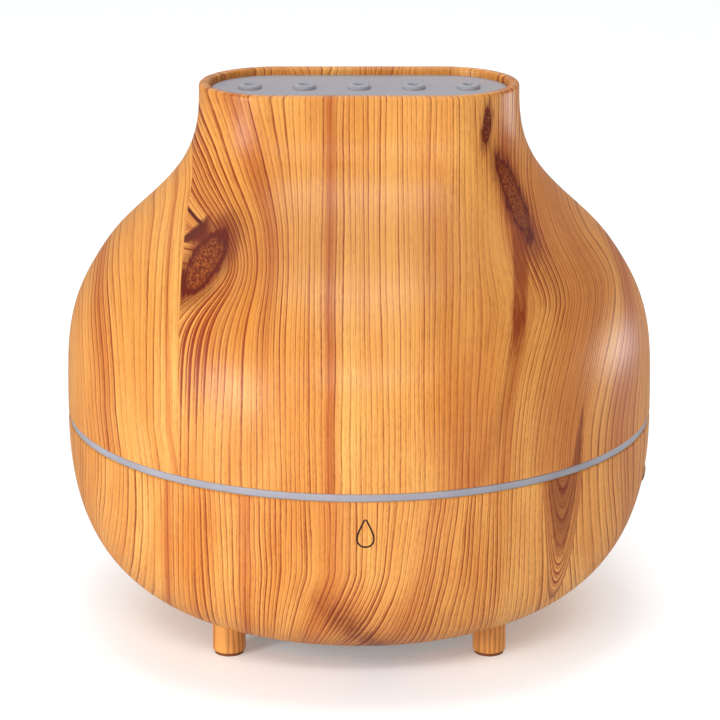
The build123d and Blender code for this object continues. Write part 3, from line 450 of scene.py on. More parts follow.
def finish_wood(tree, shader, colour, lines, line, up, behind):
    """Colour, sheen and the faint relief of the printed film."""
    dust = noise(combine(tree, line * 0.6, up * 0.2, behind), detail=3.0)
    sheen = dust * 0.10 + lines * 0.04 + 0.38
    relief = fibre(line, up, behind) * 0.5 - lines * 0.3
    coat(tree, shader, colour, sheen, relief, 0.00002, 0.5)


def cover_wood():
    """The film on the cover: a seam with a large knot against it at the left, a slanting knot with
    a stripe below it at the right, a small one near the rim and a flame above the ring."""
    material, tree, shader = new_material("printed_wood_cover", Specular_IOR_Level=SHEEN)
    across, up, behind = film_place(tree)
    front = behind.rise(0.25, 0.0)
    seam = across.rise(SEAM_ACROSS + 0.2, SEAM_ACROSS - 0.2)
    seam = seam * front + across.rise(-38, -64) * front.flip()

    tall = across.rise(-58, -95) * 0.75 + 0.2
    above = up - LEFT_ARCH_UP
    arch = above.math("MAXIMUM", 0.0).squared() * tall
    left = ((across + SIDE_MIDDLE).squared() + arch).math("SQRT") - SIDE_MIDDLE
    left = left + above.math("MINIMUM", 0.0) * across.rise(-115, -80) * 0.2
    steep = (up - RIGHT_ARCH_UP).math("SMOOTH_MIN", 46.0, 16.0) - up.rise(106, 128) * 20
    arch = steep.squared() * (across.rise(25, 60) * 0.95 - across.rise(88, 120) * 0.83)
    right = ((across - SIDE_MIDDLE).squared() + arch).math("SQRT") * -1 + SIDE_MIDDLE
    middle = across + (swirl(across, up) - across) * front
    middle = middle + (right - across) * across.rise(20, 26)
    line = middle + (left - middle) * seam
    wander = noise(combine(tree, across * 0.03, up * 0.012, behind), detail=2.0) * 3.0
    ripple = noise(combine(tree, across * 0.11, up * 0.045, behind), detail=2.0) * 0.7
    line = line + wander + ripple + drift(across, up, behind)

    rings = line - (line + 30).math("MINIMUM", 0.0) * 0.42
    rings = rings + (line - 46).held(0.0, 24.0) * 0.3 - (line - 70).math("MAXIMUM", 0.0) * 0.5
    lines = grain_lines(rings + seam * 7.3, up, behind, RING_SPACING)
    near = line.bell(-45, 9) * up.rise(78, 104) * seam.flip() * front
    slanting_knot = leaning(across, up, *SLANTING_KNOT)
    beside = slanting_knot.rise(3.2, 1.0) * front
    bold = near * 2.2 + beside * 0.7 + line.bell(84, 14) * 0.5 + line.bell(-84, 6) * 0.9
    bold = bold - seam * 0.25 + 0.8
    lines = (lines * bold).math("MINIMUM", 1.5)

    bands = line.bell(-8.0, 1.7) * 0.8 + line.bell(-26, 2.2) * up.rise(60, 120) * 0.6
    bands = bands + line.bell(30, 9) * up.rise(130, 84) * 0.5 + line.bell(-84, 4) * 0.5
    bands = bands + line.bell(-55.5, 1.2) * 0.6 * seam + line.bell(58, 12) * 0.45
    bands = bands + line.bell(88, 10) * 0.7 + near * 0.4 + beside * 0.35 + line.bell(41, 1.8) * 0.4
    pale = line.bell(8, 8) * up.rise(70, 120) * 0.5 + line.bell(-17, 4) * up.rise(70, 120) * 0.4
    colour = wood_colour(line, up, behind, lines, (bands * front).math("MAXIMUM", 0.0))
    colour = blend((pale * front * lines.rise(0.5, 0.0)), colour, WOOD_PALE)
    streaks = fibre(line, up, behind)
    fuzz = noise(combine(tree, across * 0.7, up * 0.05), detail=3.0) * 2.2
    stripe_place = across - STRIPE_ACROSS + (up - 121).squared() * 0.0044 + fuzz * 0.5
    solid = (stripe_place.size() + fuzz * 0.6).rise(3.1, 1.7)
    solid = solid * up.rise(128, 123) * (up + fuzz * 6).rise(95, 107)
    faded = stripe_place.bell(-0.5, 2.6) * up.rise(112, 102) * (up.rise(60, 100) * 0.3 + 0.25)
    stripe = solid * (streaks * 0.9 + 0.8) + faded * (streaks + lines * 0.4 + 0.7)
    colour = blend(stripe * front, colour, STRIPE)

    half = (up - 83).math("MINIMUM", 0.0) * -0.14 + 0.02
    ragged = noise(combine(tree, across * 1.2, up * 0.2), detail=3.0) * 1.1
    flame = ((across - FLAME_ACROSS - (up - 82) * 0.13).size() / half + ragged).rise(1.3, 0.2)
    flame = flame * up.rise(84, 78) * front
    colour = blend(flame * (streaks * 1.0 + 0.75), colour, FLAME)

    inside = across.rise(SEAM_ACROSS - 0.2, SEAM_ACROSS + 0.2) * front
    rough = noise(combine(tree, across * 0.5, up * 0.5 + 8.0), detail=3.0) * 1.4
    twig = ((up - 126.4 + (across + 47) * 0.4).size() / 0.55 + rough * 0.5).rise(1.3, 0.5)
    twig = twig * across.rise(-45.2, -46.6) * 0.9
    mass = (up - 124.6 - (across + 46) * 0.36).size() / ((across + 53.5) * 0.3 + 0.4)
    mass = mass + rough * 0.5
    marks = twig.math("MAXIMUM", mass.rise(1.25, 0.5) * across.rise(-41, -45) * 0.8)
    large_knot = leaning(across, up, *LARGE_KNOT)
    shade = large_knot.rise(1.9, 0.95) * (lines * 0.6 + streaks * 0.5 + 0.25)
    colour = blend(shade * inside, colour, FLAME)
    colour = blend(marks.rise(0.05, 0.6) * inside * 0.75, colour, FLAME)
    colour = blend(marks.rise(0.45, 0.9) * inside, colour, WOOD_DARK)
    rim_knot = leaning(across, up, *RIM_KNOT)
    colour = knot_colour(colour, up, across, large_knot / (inside + 0.0001), 0.25, 0.6)
    colour = knot_colour(colour, up, across, slanting_knot / (front + 0.0001), 0.6, 0.62)
    colour = knot_colour(colour, up, across, rim_knot / (front + 0.0001), 0.7, 0.4)
    finish_wood(tree, shader, colour, lines, line, up, behind)
    return material


def bowl_wood():
    """The film on the bowl: a dark stain low in front and a nested heart at the right."""
    material, tree, shader = new_material("printed_wood_bowl", Specular_IOR_Level=SHEEN)
    across, up, behind = film_place(tree)
    front = behind.rise(0.25, 0.0)
    drop = (up - 62) * -1
    wander = noise(combine(tree, across * 0.03 + 11.0, up * 0.012, behind), detail=2.0) * 4.0
    ripple = noise(combine(tree, across * 0.11, up * 0.045 + 5.0, behind), detail=2.0) * 1.0
    away = across.size()
    arch = drop.squared() * (away.rise(40, 90) * 0.8 - away.rise(88, 120) * 0.68)
    line = ((away - SIDE_MIDDLE).squared() + arch).math("SQRT") * -1 + SIDE_MIDDLE
    line = line * across.sign() + drop * across.bell(20, 14) * 0.12
    line = line + wander + ripple + drift(across, up, behind)
    sink = (up - 42).math("MINIMUM", 0.0) * -1
    line = line + sink.squared() / (sink + 8) * 0.55 * across.bell(-5, 17)
    heart = up - HEART_TIP - (across - HEART_ACROSS).squared() * 0.71
    inside = heart.rise(-0.4, 0.4) * across.rise(53.3, 53.7) * front
    line = line + (heart * 0.42 + 60 - line) * inside

    rings = line - (line + 45).math("MINIMUM", 0.0) * 0.3 + (line - 20).held(0.0, 32.0) * 0.2
    rings = rings - (line - 66).math("MAXIMUM", 0.0) * 0.5
    lines = grain_lines(rings + 31.0, up, behind, RING_SPACING)
    low = (across + 2).bell(0, 14) * up.rise(46, 26) * front
    bold = low * 0.9 + inside * 0.9 + line.bell(72, 5) * 0.5 + line.bell(19, 5) * 0.4 + 1.0
    lines = (lines * bold).math("MINIMUM", 1.5)

    bands = line.bell(-57, 1.4) * 0.7 + line.bell(-32, 2.6) * 0.6 + line.bell(20, 5) * 0.4
    bands = bands + low * 0.35 + line.bell(92, 10) * 0.4 + inside * 0.25 + line.bell(-6, 5) * 0.35
    colour = wood_colour(line, up, behind, lines, (bands * front).math("MAXIMUM", 0.0))
    streaks = fibre(line, up, behind)
    cloud = noise(combine(tree, across * 0.12, up * 0.09 + 3.0), detail=3.0)
    stain_place = across + 12 + (up - 35) * 0.72 + cloud * 9
    stain = stain_place.bell(0, 5.2) * up.rise(42, 20) * front
    colour = blend(stain * (lines * 0.5 + streaks * 1.2 + 0.5), colour, FLAME)
    ragged = noise(combine(tree, across * 0.5, up * 0.16 + 7.0), detail=4.0, roughness=0.7)
    dark = (heart + ragged * 26).rise(12, 23) * inside
    colour = blend(dark * (streaks * 0.8 + 0.62), colour, FLAME)
    outline = (heart - 0.8).bell(0, 1.6) * across.rise(53.3, 53.7) * front * up.rise(64, 50)
    colour = blend(outline * (streaks + 0.62), colour, FLAME)
    finish_wood(tree, shader, colour, lines, line, up, behind)
    return material


def foot_wood():
    """Turned peg: grain runs up the peg, with end grain underneath."""
    material, tree, shader = new_material("peg_wood", Specular_IOR_Level=0.5)
    point, (x, y, z) = place_in(tree)
    ring = ((x + 61.0).squared() + (y + 73.0).squared()).math("SQRT")
    wobble = noise(combine(tree, x * 0.2, y * 0.2, z * 0.05), detail=2.0) * 2.0
    line = ring + wobble
    lines = (line / 1.4).math("FRACT").rise(0.25, 0.9) * (line / 1.4).math("FRACT").rise(1.0, 0.9)
    streak = noise(combine(tree, line * 2.5, z * 0.12, x * 0.3), detail=3.0, roughness=0.7)
    colour = blend(noise(point, scale=0.12) + 0.5, WOOD_PALE, WOOD_MID)
    colour = blend(lines * 0.55 + streak * 0.4, colour, WOOD_LINE)
    coat(tree, shader, colour, streak * 0.15 + 0.42, streak - lines * 0.5, 0.00006, 0.6)
    return material


# ---------------------------------------------------------------- plastics, metals and boards
def moulded(name, colour, shade, roughness, grain=0.9, relief=0.00003, **numbers):
    """Moulded plastic or rubber: slight colour drift, fine skin texture and a few duller rubs."""
    material, tree, shader = new_material(name, **numbers)
    point, _ = place_in(tree)
    cloud = noise(point, scale=0.045, detail=3.0)
    skin = noise(point, scale=grain * 2.5, detail=3.0, roughness=0.65)
    rub = noise(point, scale=0.16, detail=4.0, roughness=0.7).rise(0.05, 0.3)
    tone = blend(cloud * 1.1 + skin * 0.25 + 0.5, colour, shade)
    coat(tree, shader, tone, skin * 0.12 + rub * 0.09 + roughness, skin, relief, 0.7)
    return material


def metal(name, colour, shade, roughness, stretch=(1.0, 1.0, 1.0)):
    """Plated or machined metal with fine tool marks along one direction and light tarnish."""
    material, tree, shader = new_material(name, Metallic=1.0)
    _, (x, y, z) = place_in(tree)
    grain = combine(tree, x * stretch[0], y * stretch[1], z * stretch[2])
    marks = noise(grain, scale=3.0, detail=4.0)
    tarnish = noise(combine(tree, x, y, z), scale=0.25, detail=3.0)
    tone = blend(tarnish * 1.6 + marks * 0.4 + 0.4, colour, shade)
    coat(tree, shader, tone, marks * 0.22 + tarnish * 0.12 + roughness, marks, 0.00002, 0.5)
    return material


def circuit_board(name):
    """Green board: solder mask over copper tracks on a grid, with drilled pads."""
    material, tree, shader = new_material(name, Specular_IOR_Level=0.5)
    _, (x, y, z) = place_in(tree)
    jog = noise(combine(tree, x, y + z), scale=0.12, detail=0.0) * 3.0
    tracks = ((x + (y + jog).math("FRACT") * 0.4) / 2.54).math("FRACT").rise(0.38, 0.44)
    tracks = tracks * ((x + jog * 0.6) / 2.54).math("FRACT").rise(0.68, 0.62)
    chosen = noise(combine(tree, x * 0.12, y * 0.3, z * 0.3), detail=0.0).rise(-0.02, 0.03)
    copper = tracks * chosen
    pads = cells(combine(tree, x, y + z), scale=0.28).rise(0.16, 0.13)
    mask = blend(copper, rgb(8, 66, 34), rgb(26, 104, 56))
    tone = blend(pads, mask, rgb(186, 182, 168))
    grit = noise(combine(tree, x, y, z), scale=3.0, detail=2.0)
    coat(tree, shader, tone, grit * 0.1 + 0.34, copper + pads * 1.4, 0.00004, 0.8)
    return material


def frosted_grey(name, colour, shade):
    """Frosted translucent plastic over a dark inside."""
    material, tree, shader = new_material(name, Specular_IOR_Level=0.5, Subsurface_Weight=0.25)
    shader.inputs["Subsurface Radius"].default_value = (1.0, 1.0, 1.0)
    shader.inputs["Subsurface Scale"].default_value = 0.002
    point, _ = place_in(tree)
    cloud = noise(point, scale=0.06, detail=3.0)
    frost = noise(point, scale=4.0, detail=3.0, roughness=0.7)
    tone = blend(cloud * 1.4 + frost * 0.3 + 0.5, colour, shade)
    coat(tree, shader, tone, frost * 0.12 + cloud * 0.08 + 0.42, frost, 0.00002, 0.6)
    return material


def wire_pair(name, axis, middle):
    """Insulation that is red on one wire of the pair and black on the other."""
    material, tree, shader = new_material(name, Specular_IOR_Level=0.5)
    point, places = place_in(tree)
    side = places[axis].rise(middle - 0.05, middle + 0.05)
    skin = noise(point, scale=1.2, detail=3.0)
    red = blend(skin + 0.5, rgb(176, 24, 20), rgb(140, 16, 14))
    coat(tree, shader, blend(side, red, rgb(24, 24, 26)), skin * 0.15 + 0.4, skin, 0.00003, 0.5)
    return material


# ---------------------------------------------------------------- shell geometry
def smooth_curve(points):
    """Natural cubic spline through (place, value) points."""
    places, values = (np.array(column, float) for column in zip(*points))
    gaps = np.diff(places)
    count = len(places)
    matrix = np.eye(count)
    right = np.zeros(count)
    for i in range(1, count - 1):
        matrix[i, i - 1 : i + 2] = gaps[i - 1], 2 * (gaps[i - 1] + gaps[i]), gaps[i]
        slopes = (values[i + 1] - values[i]) / gaps[i], (values[i] - values[i - 1]) / gaps[i - 1]
        right[i] = 6 * (slopes[0] - slopes[1])
    bends = np.linalg.solve(matrix, right)

    def at(place):
        i = int(np.clip(np.searchsorted(places, place) - 1, 0, count - 2))
        gap, before, after = gaps[i], place - places[i], places[i + 1] - place
        curve = (bends[i] * after**3 + bends[i + 1] * before**3) / (6 * gap)
        first = (values[i] / gap - bends[i] * gap / 6) * after
        return curve + first + (values[i + 1] / gap - bends[i + 1] * gap / 6) * before

    return at


half_width_at = smooth_curve(COVER_SECTIONS)


def section(height):
    """The cover's section at a height: half its straight length, and its end radius."""
    half_width = half_width_at(height)
    fullness = (half_width - RIM_HALF_LENGTH) / (BODY_RADIUS - RIM_HALF_LENGTH)
    straight = (RIM_HALF_LENGTH - RIM_END_RADIUS) * (1 - min(fullness, 1))
    return straight, half_width - straight


def bowl_curve(count, inset=0):
    """Points down the bowl's side, or down a curve inset from it, as (radius, height)."""
    degree = len(BOWL_CURVE) - 1
    moves = zip(BOWL_CURVE, BOWL_INSET)
    controls = [(r + inset * dr, z + inset * dz) for (r, z), (dr, dz) in moves]
    points = []
    for step in range(count + 1):
        t = step / count
        weights = [math.comb(degree, i) * (1 - t) ** (degree - i) * t**i for i in range(degree + 1)]
        points.append(tuple(sum(w * p[axis] for w, p in zip(weights, controls)) for axis in (0, 1)))
    return points


def on_section(share, straight, radius):
    """Point on a rounded section, share running from -1 to 1 round from the back through the
    front, and the same place as a distance across the film and behind its side. The distance
    grows to the side, turns round smoothly there and shrinks again to the middle of the back."""
    half_round = 2 * straight + math.pi * radius
    reach = abs(share) * half_round
    turn = (reach - straight) / radius
    if turn < 0:
        x, y = reach, -radius
    elif turn > math.pi:
        x, y = half_round - reach, radius
    else:
        x, y = straight + radius * math.sin(turn), -radius * math.cos(turn)
    side = half_round / 2
    behind = max(0.0, (reach - side) / side)
    aside = abs(reach - side)
    if aside < SIDE_TURN:
        aside = (aside**2 + SIDE_TURN**2) / (2 * SIDE_TURN)
    across = side - aside
    sign = -1 if share < 0 else 1
    return sign * x, y, sign * across, behind


def ring_mesh(name, rings, materials, bare_from):
    """Closed tube-like mesh from a loop of rings. Each ring is (height, straight, radius, film
    section), and the last joins the first. The film ends at ring bare_from."""
    mesh = bpy.data.meshes.new(name)
    points, film = [], []
    for height, straight, radius, outer in rings:
        for column in range(COLUMNS):
            share = 2 * column / COLUMNS - 1
            x, y, _, _ = on_section(share, straight, radius)
            _, _, across, behind = on_section(share, *outer)
            points.append((x * MM, y * MM, height * MM))
            film.append((across, height, behind))
    faces = []
    for row in range(len(rings)):
        here, there = row * COLUMNS, (row + 1) % len(rings) * COLUMNS
        for column in range(COLUMNS):
            beside = (column + 1) % COLUMNS
            faces.append((here + column, here + beside, there + beside, there + column))
    mesh.from_pydata(points, [], faces)
    bare = np.arange(len(faces)) >= bare_from * COLUMNS
    mesh.polygons.foreach_set("material_index", bare.astype(np.int32))
    grain = mesh.uv_layers.new(name="grain")
    rear = mesh.uv_layers.new(name="rear")
    corners = np.empty(len(mesh.loops), np.int32)
    mesh.loops.foreach_get("vertex_index", corners)
    film = np.array(film)[corners]
    grain.data.foreach_set("uv", np.ascontiguousarray(film[:, :2]).ravel().astype(np.float32))
    behind = np.stack([film[:, 2], np.zeros(len(film))], axis=1)
    rear.data.foreach_set("uv", behind.ravel().astype(np.float32))
    for material in materials:
        mesh.materials.append(material)
    work = bmesh.new()
    work.from_mesh(mesh)
    if work.calc_volume(signed=True) < 0:
        bmesh.ops.reverse_faces(work, faces=work.faces)
    work.to_mesh(mesh)
    work.free()
    mesh.shade_smooth()
    mesh.set_sharp_from_angle(angle=SHARP_ANGLE)
    thing = bpy.data.objects.new(name, mesh)
    bpy.context.scene.collection.objects.link(thing)
    return thing


def build_cover():
    """The lift-off cover: outer skin, rounded rim, ledge for the plate, inner wall, lower edge."""
    rings = []

    def add(height, inset, level=None):
        level = min(max(height if level is None else level, SEAM_TOP), RIM_TOP)
        straight, radius = section(level)
        rings.append((height, straight, radius - inset, section(level)))

    add(SEAM_TOP, EDGE)
    add(SEAM_TOP + 0.5 * EDGE, 0.2 * EDGE)
    start, end = SEAM_TOP + EDGE, RIM_TOP - RIM_ROUNDING
    for row in range(COVER_ROWS + 1):
        add(start + (end - start) * row / COVER_ROWS, 0)
    quarter = [math.radians(15 * step) for step in range(7)]
    for turn in quarter[1:]:
        add(end + RIM_ROUNDING * math.sin(turn), RIM_ROUNDING - RIM_ROUNDING * math.cos(turn))
    for turn in quarter:
        inset = WALL - RIM_ROUNDING + RIM_ROUNDING * math.sin(turn)
        add(end + RIM_ROUNDING * math.cos(turn), inset)
    add(PLATE_BOTTOM, WALL, RIM_TOP)
    film_end = len(rings) - 1
    add(PLATE_BOTTOM, WALL + LEDGE_WIDTH, RIM_TOP)
    add(LEDGE_BOTTOM, WALL + LEDGE_WIDTH, RIM_TOP)
    for row in range(COVER_INNER_ROWS + 1):
        height = LEDGE_BOTTOM + (SEAM_TOP - LEDGE_BOTTOM) * row / COVER_INNER_ROWS
        add(height, WALL, height + COVER_DROP)
    return ring_mesh("cover_shell_printed", rings, (cover_wood(), shell_plastic), film_end)


def build_bowl():
    """The base bowl: printed side, recess and hatch in its floor, inner wall with its shelf."""
    profile = [(BODY_RADIUS - EDGE, SEAM_BOTTOM), (BODY_RADIUS, SEAM_BOTTOM - EDGE)]
    outer = [point for point in bowl_curve(BOWL_ROWS) if point[1] < SEAM_BOTTOM - 0.5]
    profile += [point for point in outer if point[0] > HATCH_RADIUS + 1]
    film_end = len(profile)
    profile += [(HATCH_RADIUS, FLOOR), (HATCH_RADIUS, STEP_TOP), (STEP_RADIUS, STEP_TOP)]
    profile += [(STEP_RADIUS, COLLAR_TOP), (COLLAR_RADIUS, COLLAR_TOP)]
    profile += [(COLLAR_RADIUS, FLOOR + WALL)]
    inner = reversed(bowl_curve(BOWL_INNER_ROWS, WALL))
    inner = [(r, z) for r, z in inner if r > COLLAR_RADIUS + 0.5 and z < SEAM_BOTTOM - 1]
    shelf_bottom = SHELF_TOP - SHELF_THICKNESS
    profile += [point for point in inner if point[1] < shelf_bottom - 0.2]
    profile += [(SHELF_RADIUS, shelf_bottom), (SHELF_RADIUS, SHELF_TOP)]
    profile += [point for point in inner if point[1] > SHELF_TOP + 0.2]
    profile += [(BODY_RADIUS - WALL, SEAM_BOTTOM)]
    rings = [(z, 0.0, r, (0.0, max(r, COLLAR_RADIUS - 0.5))) for r, z in profile]
    bowl = ring_mesh("base_shell_printed", rings, (bowl_wood(), shell_plastic), film_end)
    add_bosses(bowl)
    cut_openings(bowl)
    return bowl


def bowl_outline():
    """Heights and radii down the bowl's side, rising."""
    radii, heights = (np.array(column) for column in zip(*reversed(bowl_curve(200))))
    return heights, radii


def wall_radius(height):
    """Radius of the bowl's outside at a height."""
    return float(np.interp(height, *bowl_outline()))


def wall_height(radius):
    """Height of the bowl's outside at a radius."""
    heights, radii = bowl_outline()
    return float(np.interp(radius, radii, heights))


def rod(work, radius, start, direction, near, far):
    """Adds a closed cylinder along a direction from a point, between two distances in mm, and
    returns its corners."""
    middle = Vector(start) + Vector(direction) * (near + far) / 2
    turn = Vector(direction).to_track_quat("Z", "Y").to_matrix().to_4x4()
    made = bmesh.ops.create_cone(
        work,
        cap_ends=True,
        segments=ROD_SIDES,
        radius1=radius * MM,
        radius2=radius * MM,
        depth=(far - near) * MM,
        matrix=Matrix.Translation(middle * MM) @ turn,
    )
    return made["verts"]


def root_in_floor(corners, top):
    """Ends a post inside the thickness of the bowl's floor."""
    for corner in corners:
        if corner.co.z < (top - 0.5) * MM:
            radius = math.hypot(corner.co.x, corner.co.y) / MM
            corner.co.z = (wall_height(radius) + 0.5 * WALL) * MM


def root_in_wall(corners, way, near):
    """Ends a level post inside the thickness of the bowl's side."""
    for corner in corners:
        along = corner.co.dot(Vector(way))
        if along > (near + 0.5) * MM:
            beside = corner.co - Vector(way) * along
            reach = (wall_radius(corner.co.z / MM) - 0.5 * WALL) * MM
            level = math.hypot(beside.x, beside.y)
            corner.co = beside + Vector(way) * math.sqrt(reach**2 - level**2)


def combine_meshes(thing, work, operation):
    """Joins a bmesh to an object's mesh or cuts it out, and gives its faces the bare plastic."""
    bmesh.ops.recalc_face_normals(work, faces=work.faces)
    for face in work.faces:
        face.material_index = 1
    mesh = bpy.data.meshes.new("tool")
    work.to_mesh(mesh)
    work.free()
    for material in thing.data.materials:
        mesh.materials.append(material)
    tool = bpy.data.objects.new("tool", mesh)
    bpy.context.scene.collection.objects.link(tool)
    step = thing.modifiers.new("tool", "BOOLEAN")
    step.operation = operation
    step.solver = "EXACT"
    step.object = tool
    apply_modifiers(thing)
    bpy.data.objects.remove(tool)
    thing.data.set_sharp_from_angle(angle=SHARP_ANGLE)


def add_bosses(bowl):
    """Posts inside the bowl for the feet, the bottom cover, the button board and the socket."""
    work = bmesh.new()
    for name in FEET:
        start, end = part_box(name)
        x, y, _ = (start + end) / 2 / MM
        corners = rod(work, FOOT_BOSS_RADIUS, (x, y, 0), UPWARDS, FLOOR, FOOT_BOSS_TOP)
        root_in_floor(corners, FOOT_BOSS_TOP)
    for turn in COVER_SCREW_TURNS:
        x, y = COVER_BOSS_CIRCLE * math.cos(turn), COVER_BOSS_CIRCLE * math.sin(turn)
        corners = rod(work, COVER_BOSS_RADIUS, (x, y, 0), UPWARDS, FLOOR, COVER_BOSS_TOP)
        root_in_floor(corners, COVER_BOSS_TOP)
    for side in (-1, 1):
        x = -side * BUTTON_BOSS_PITCH / 2 * math.sin(BUTTON_TURN)
        y = side * BUTTON_BOSS_PITCH / 2 * math.cos(BUTTON_TURN)
        start = (x, y, BUTTON_HEIGHT)
        corners = rod(work, BUTTON_BOSS_RADIUS, start, BUTTON_WAY, BUTTON_BOSS_FACE, POST_END)
        root_in_wall(corners, BUTTON_WAY, BUTTON_BOSS_FACE)
    start = (0, 0, JACK_HEIGHT)
    corners = rod(work, JACK_BOSS_RADIUS, start, BACKWARDS, JACK_BOSS_FACE, POST_END)
    root_in_wall(corners, BACKWARDS, JACK_BOSS_FACE)
    combine_meshes(bowl, work, "UNION")


def cut_openings(bowl):
    """Cuts the foot sockets, the two button slots and the socket's seat out of the bowl."""
    work = bmesh.new()
    for name in FEET:
        start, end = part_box(name)
        x, y, _ = (start + end) / 2 / MM
        radius = (end[0] - start[0]) / 2 / MM + FOOT_GAP
        rod(work, radius, (x, y, 0), UPWARDS, BELOW_FEET, end[2] / MM)
    outline = slot_outline(BUTTON_LENGTH + BUTTON_GAP, BUTTON_WIDTH + BUTTON_GAP, 16)
    for side in (-1, 1):
        rims = []
        for depth in (BUTTON_SLOT_START, OUTSIDE):
            rim = []
            for across, up in outline:
                place = across + side * BUTTON_SPREAD
                x = depth * math.cos(BUTTON_TURN) - place * math.sin(BUTTON_TURN)
                y = depth * math.sin(BUTTON_TURN) + place * math.cos(BUTTON_TURN)
                rim.append(work.verts.new((x * MM, y * MM, (BUTTON_HEIGHT + up) * MM)))
            work.faces.new(rim)
            rims.append(rim)
        near, far = rims
        for i, corner in enumerate(near):
            j = (i + 1) % len(near)
            work.faces.new((corner, near[j], far[j], far[i]))
    rod(work, JACK_RECESS_RADIUS, (0, 0, JACK_HEIGHT), BACKWARDS, JACK_SEAT, OUTSIDE)
    combine_meshes(bowl, work, "DIFFERENCE")
    work = bmesh.new()
    rod(work, JACK_HOLE_RADIUS, (0, 0, JACK_HEIGHT), BACKWARDS, JACK_HOLE_START, OUTSIDE)
    combine_meshes(bowl, work, "DIFFERENCE")


def slot_outline(length, width, steps):
    """Outline of a pill shape, counter-clockwise."""
    radius = width / 2
    half = length / 2 - radius
    points = []
    for middle, start in ((half, -90), (-half, 90)):
        for step in range(steps + 1):
            turn = math.radians(start + 180 * step / steps)
            points.append((middle + radius * math.cos(turn), radius * math.sin(turn)))
    return points


def apply_modifiers(thing):
    """Replaces an object's mesh by its modified mesh."""
    bpy.context.view_layer.update()
    evaluated = thing.evaluated_get(bpy.context.evaluated_depsgraph_get())
    mesh = bpy.data.meshes.new_from_object(evaluated)
    thing.modifiers.clear()
    thing.data = mesh


inside, shade = rgb(216, 176, 120), rgb(204, 162, 106)
shell_plastic = moulded("shell_plastic", inside, shade, 0.46, relief=0.00004)
cover = build_cover()
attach(cover, "cover")
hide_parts("cover_shell")

bowl = build_bowl()
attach(bowl, "base")
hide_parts("base_shell")


def droplet(turn):
    """Point on the droplet's outline, from its middle."""
    across = MARK_HALF_WIDTH * math.sin(turn) * math.sin(turn / 2) ** MARK_TAPER
    return Vector((across, MARK_HALF_HEIGHT * math.cos(turn)))


def build_mark():
    """A plain droplet outline printed on the front of the bowl, a hair proud of its surface."""
    work = bmesh.new()
    rims = []
    for step in range(MARK_STEPS):
        turn = 2 * math.pi * step / MARK_STEPS
        shape = droplet(turn)
        along = (droplet(turn + 0.01) - shape).normalized()
        outwards = Vector((along.y, -along.x))
        corners = (
            (0, MARK_RELIEF),
            (MARK_LINE, MARK_RELIEF),
            (MARK_LINE, MARK_ROOT),
            (0, MARK_ROOT),
        )
        rim = []
        for offset, lift in corners:
            spot = shape - outwards * offset * (-1 if along.cross(shape) < 0 else 1)
            up = MARK_UP + spot.y
            radius = wall_radius(up)
            angle = (MARK_ACROSS + spot.x) / radius
            out = (radius + lift) * MM
            rim.append(work.verts.new((out * math.sin(angle), -out * math.cos(angle), up * MM)))
        rims.append(rim)
    for step in range(MARK_STEPS):
        here, there = rims[step], rims[(step + 1) % MARK_STEPS]
        for i in range(4):
            j = (i + 1) % 4
            work.faces.new((here[i], here[j], there[j], there[i]))
    bmesh.ops.recalc_face_normals(work, faces=work.faces)
    mesh = bpy.data.meshes.new("droplet_mark")
    work.to_mesh(mesh)
    work.free()
    ink = moulded("printed_ink", rgb(58, 34, 22), rgb(44, 26, 18), 0.5, 2.0, 0.00001)
    mesh.materials.append(ink)
    thing = bpy.data.objects.new("droplet_mark", mesh)
    bpy.context.scene.collection.objects.link(thing)
    return thing


# ---------------------------------------------------------------- finishes of the CAD nodes
def dress(material, *names):
    """Gives CAD nodes a material."""
    for name in names:
        thing = nodes[name]
        for place in range(max(1, len(thing.material_slots))):
            if not thing.material_slots:
                thing.data.materials.append(None)
            thing.material_slots[place].link = "OBJECT"
            thing.material_slots[place].material = material


plate_grey = frosted_grey("plate_frosted", rgb(158, 157, 165), rgb(150, 149, 157))
ring_grey = frosted_grey("ring_frosted", rgb(164, 161, 169), rgb(140, 137, 146))
milky = moulded("milky_plastic", rgb(222, 224, 228), rgb(206, 210, 216), 0.36, Subsurface_Weight=0.2)
tank_white = moulded("tank_white", rgb(240, 240, 236), rgb(228, 228, 224), 0.26)
silicone = moulded("silicone", rgb(196, 198, 200), rgb(180, 182, 186), 0.55)
black = moulded("black_plastic", rgb(30, 30, 32), rgb(22, 22, 24), 0.48, relief=0.00005)
chip = moulded("chip_black", rgb(26, 26, 28), rgb(18, 18, 20), 0.55, relief=0.00004)
brown = moulded("bottom_brown", rgb(120, 78, 46), rgb(104, 66, 38), 0.5, relief=0.00006)
button_brown = moulded("button_brown", rgb(150, 92, 48), rgb(130, 76, 38), 0.42)
header = moulded("header_white", rgb(236, 232, 220), rgb(222, 218, 204), 0.45)
rubber = moulded("pad_rubber", rgb(128, 74, 36), rgb(108, 60, 28), 0.75, relief=0.0001)
sleeve = moulded("capacitor_sleeve", rgb(28, 34, 62), rgb(20, 24, 48), 0.3)
ferrite = moulded("ferrite", rgb(54, 54, 58), rgb(42, 42, 46), 0.6, relief=0.00006)
led = moulded("led_white", rgb(246, 236, 176), rgb(238, 224, 150), 0.3)
steel = metal("screw_steel", rgb(190, 190, 194), rgb(150, 150, 156), 0.3)
ground = metal("ground_steel", rgb(210, 210, 214), rgb(180, 180, 186), 0.22, (0.2, 0.2, 4.0))
brass = metal("brass", rgb(214, 176, 98), rgb(176, 138, 70), 0.28)
disc = metal("disc_metal", rgb(222, 190, 120), rgb(190, 156, 92), 0.3)
alloy = metal("heatsink_alloy", rgb(196, 198, 204), rgb(170, 172, 178), 0.34, (0.2, 1.0, 4.0))
iron = metal("lacquered_iron", rgb(122, 88, 62), rgb(92, 64, 46), 0.42)
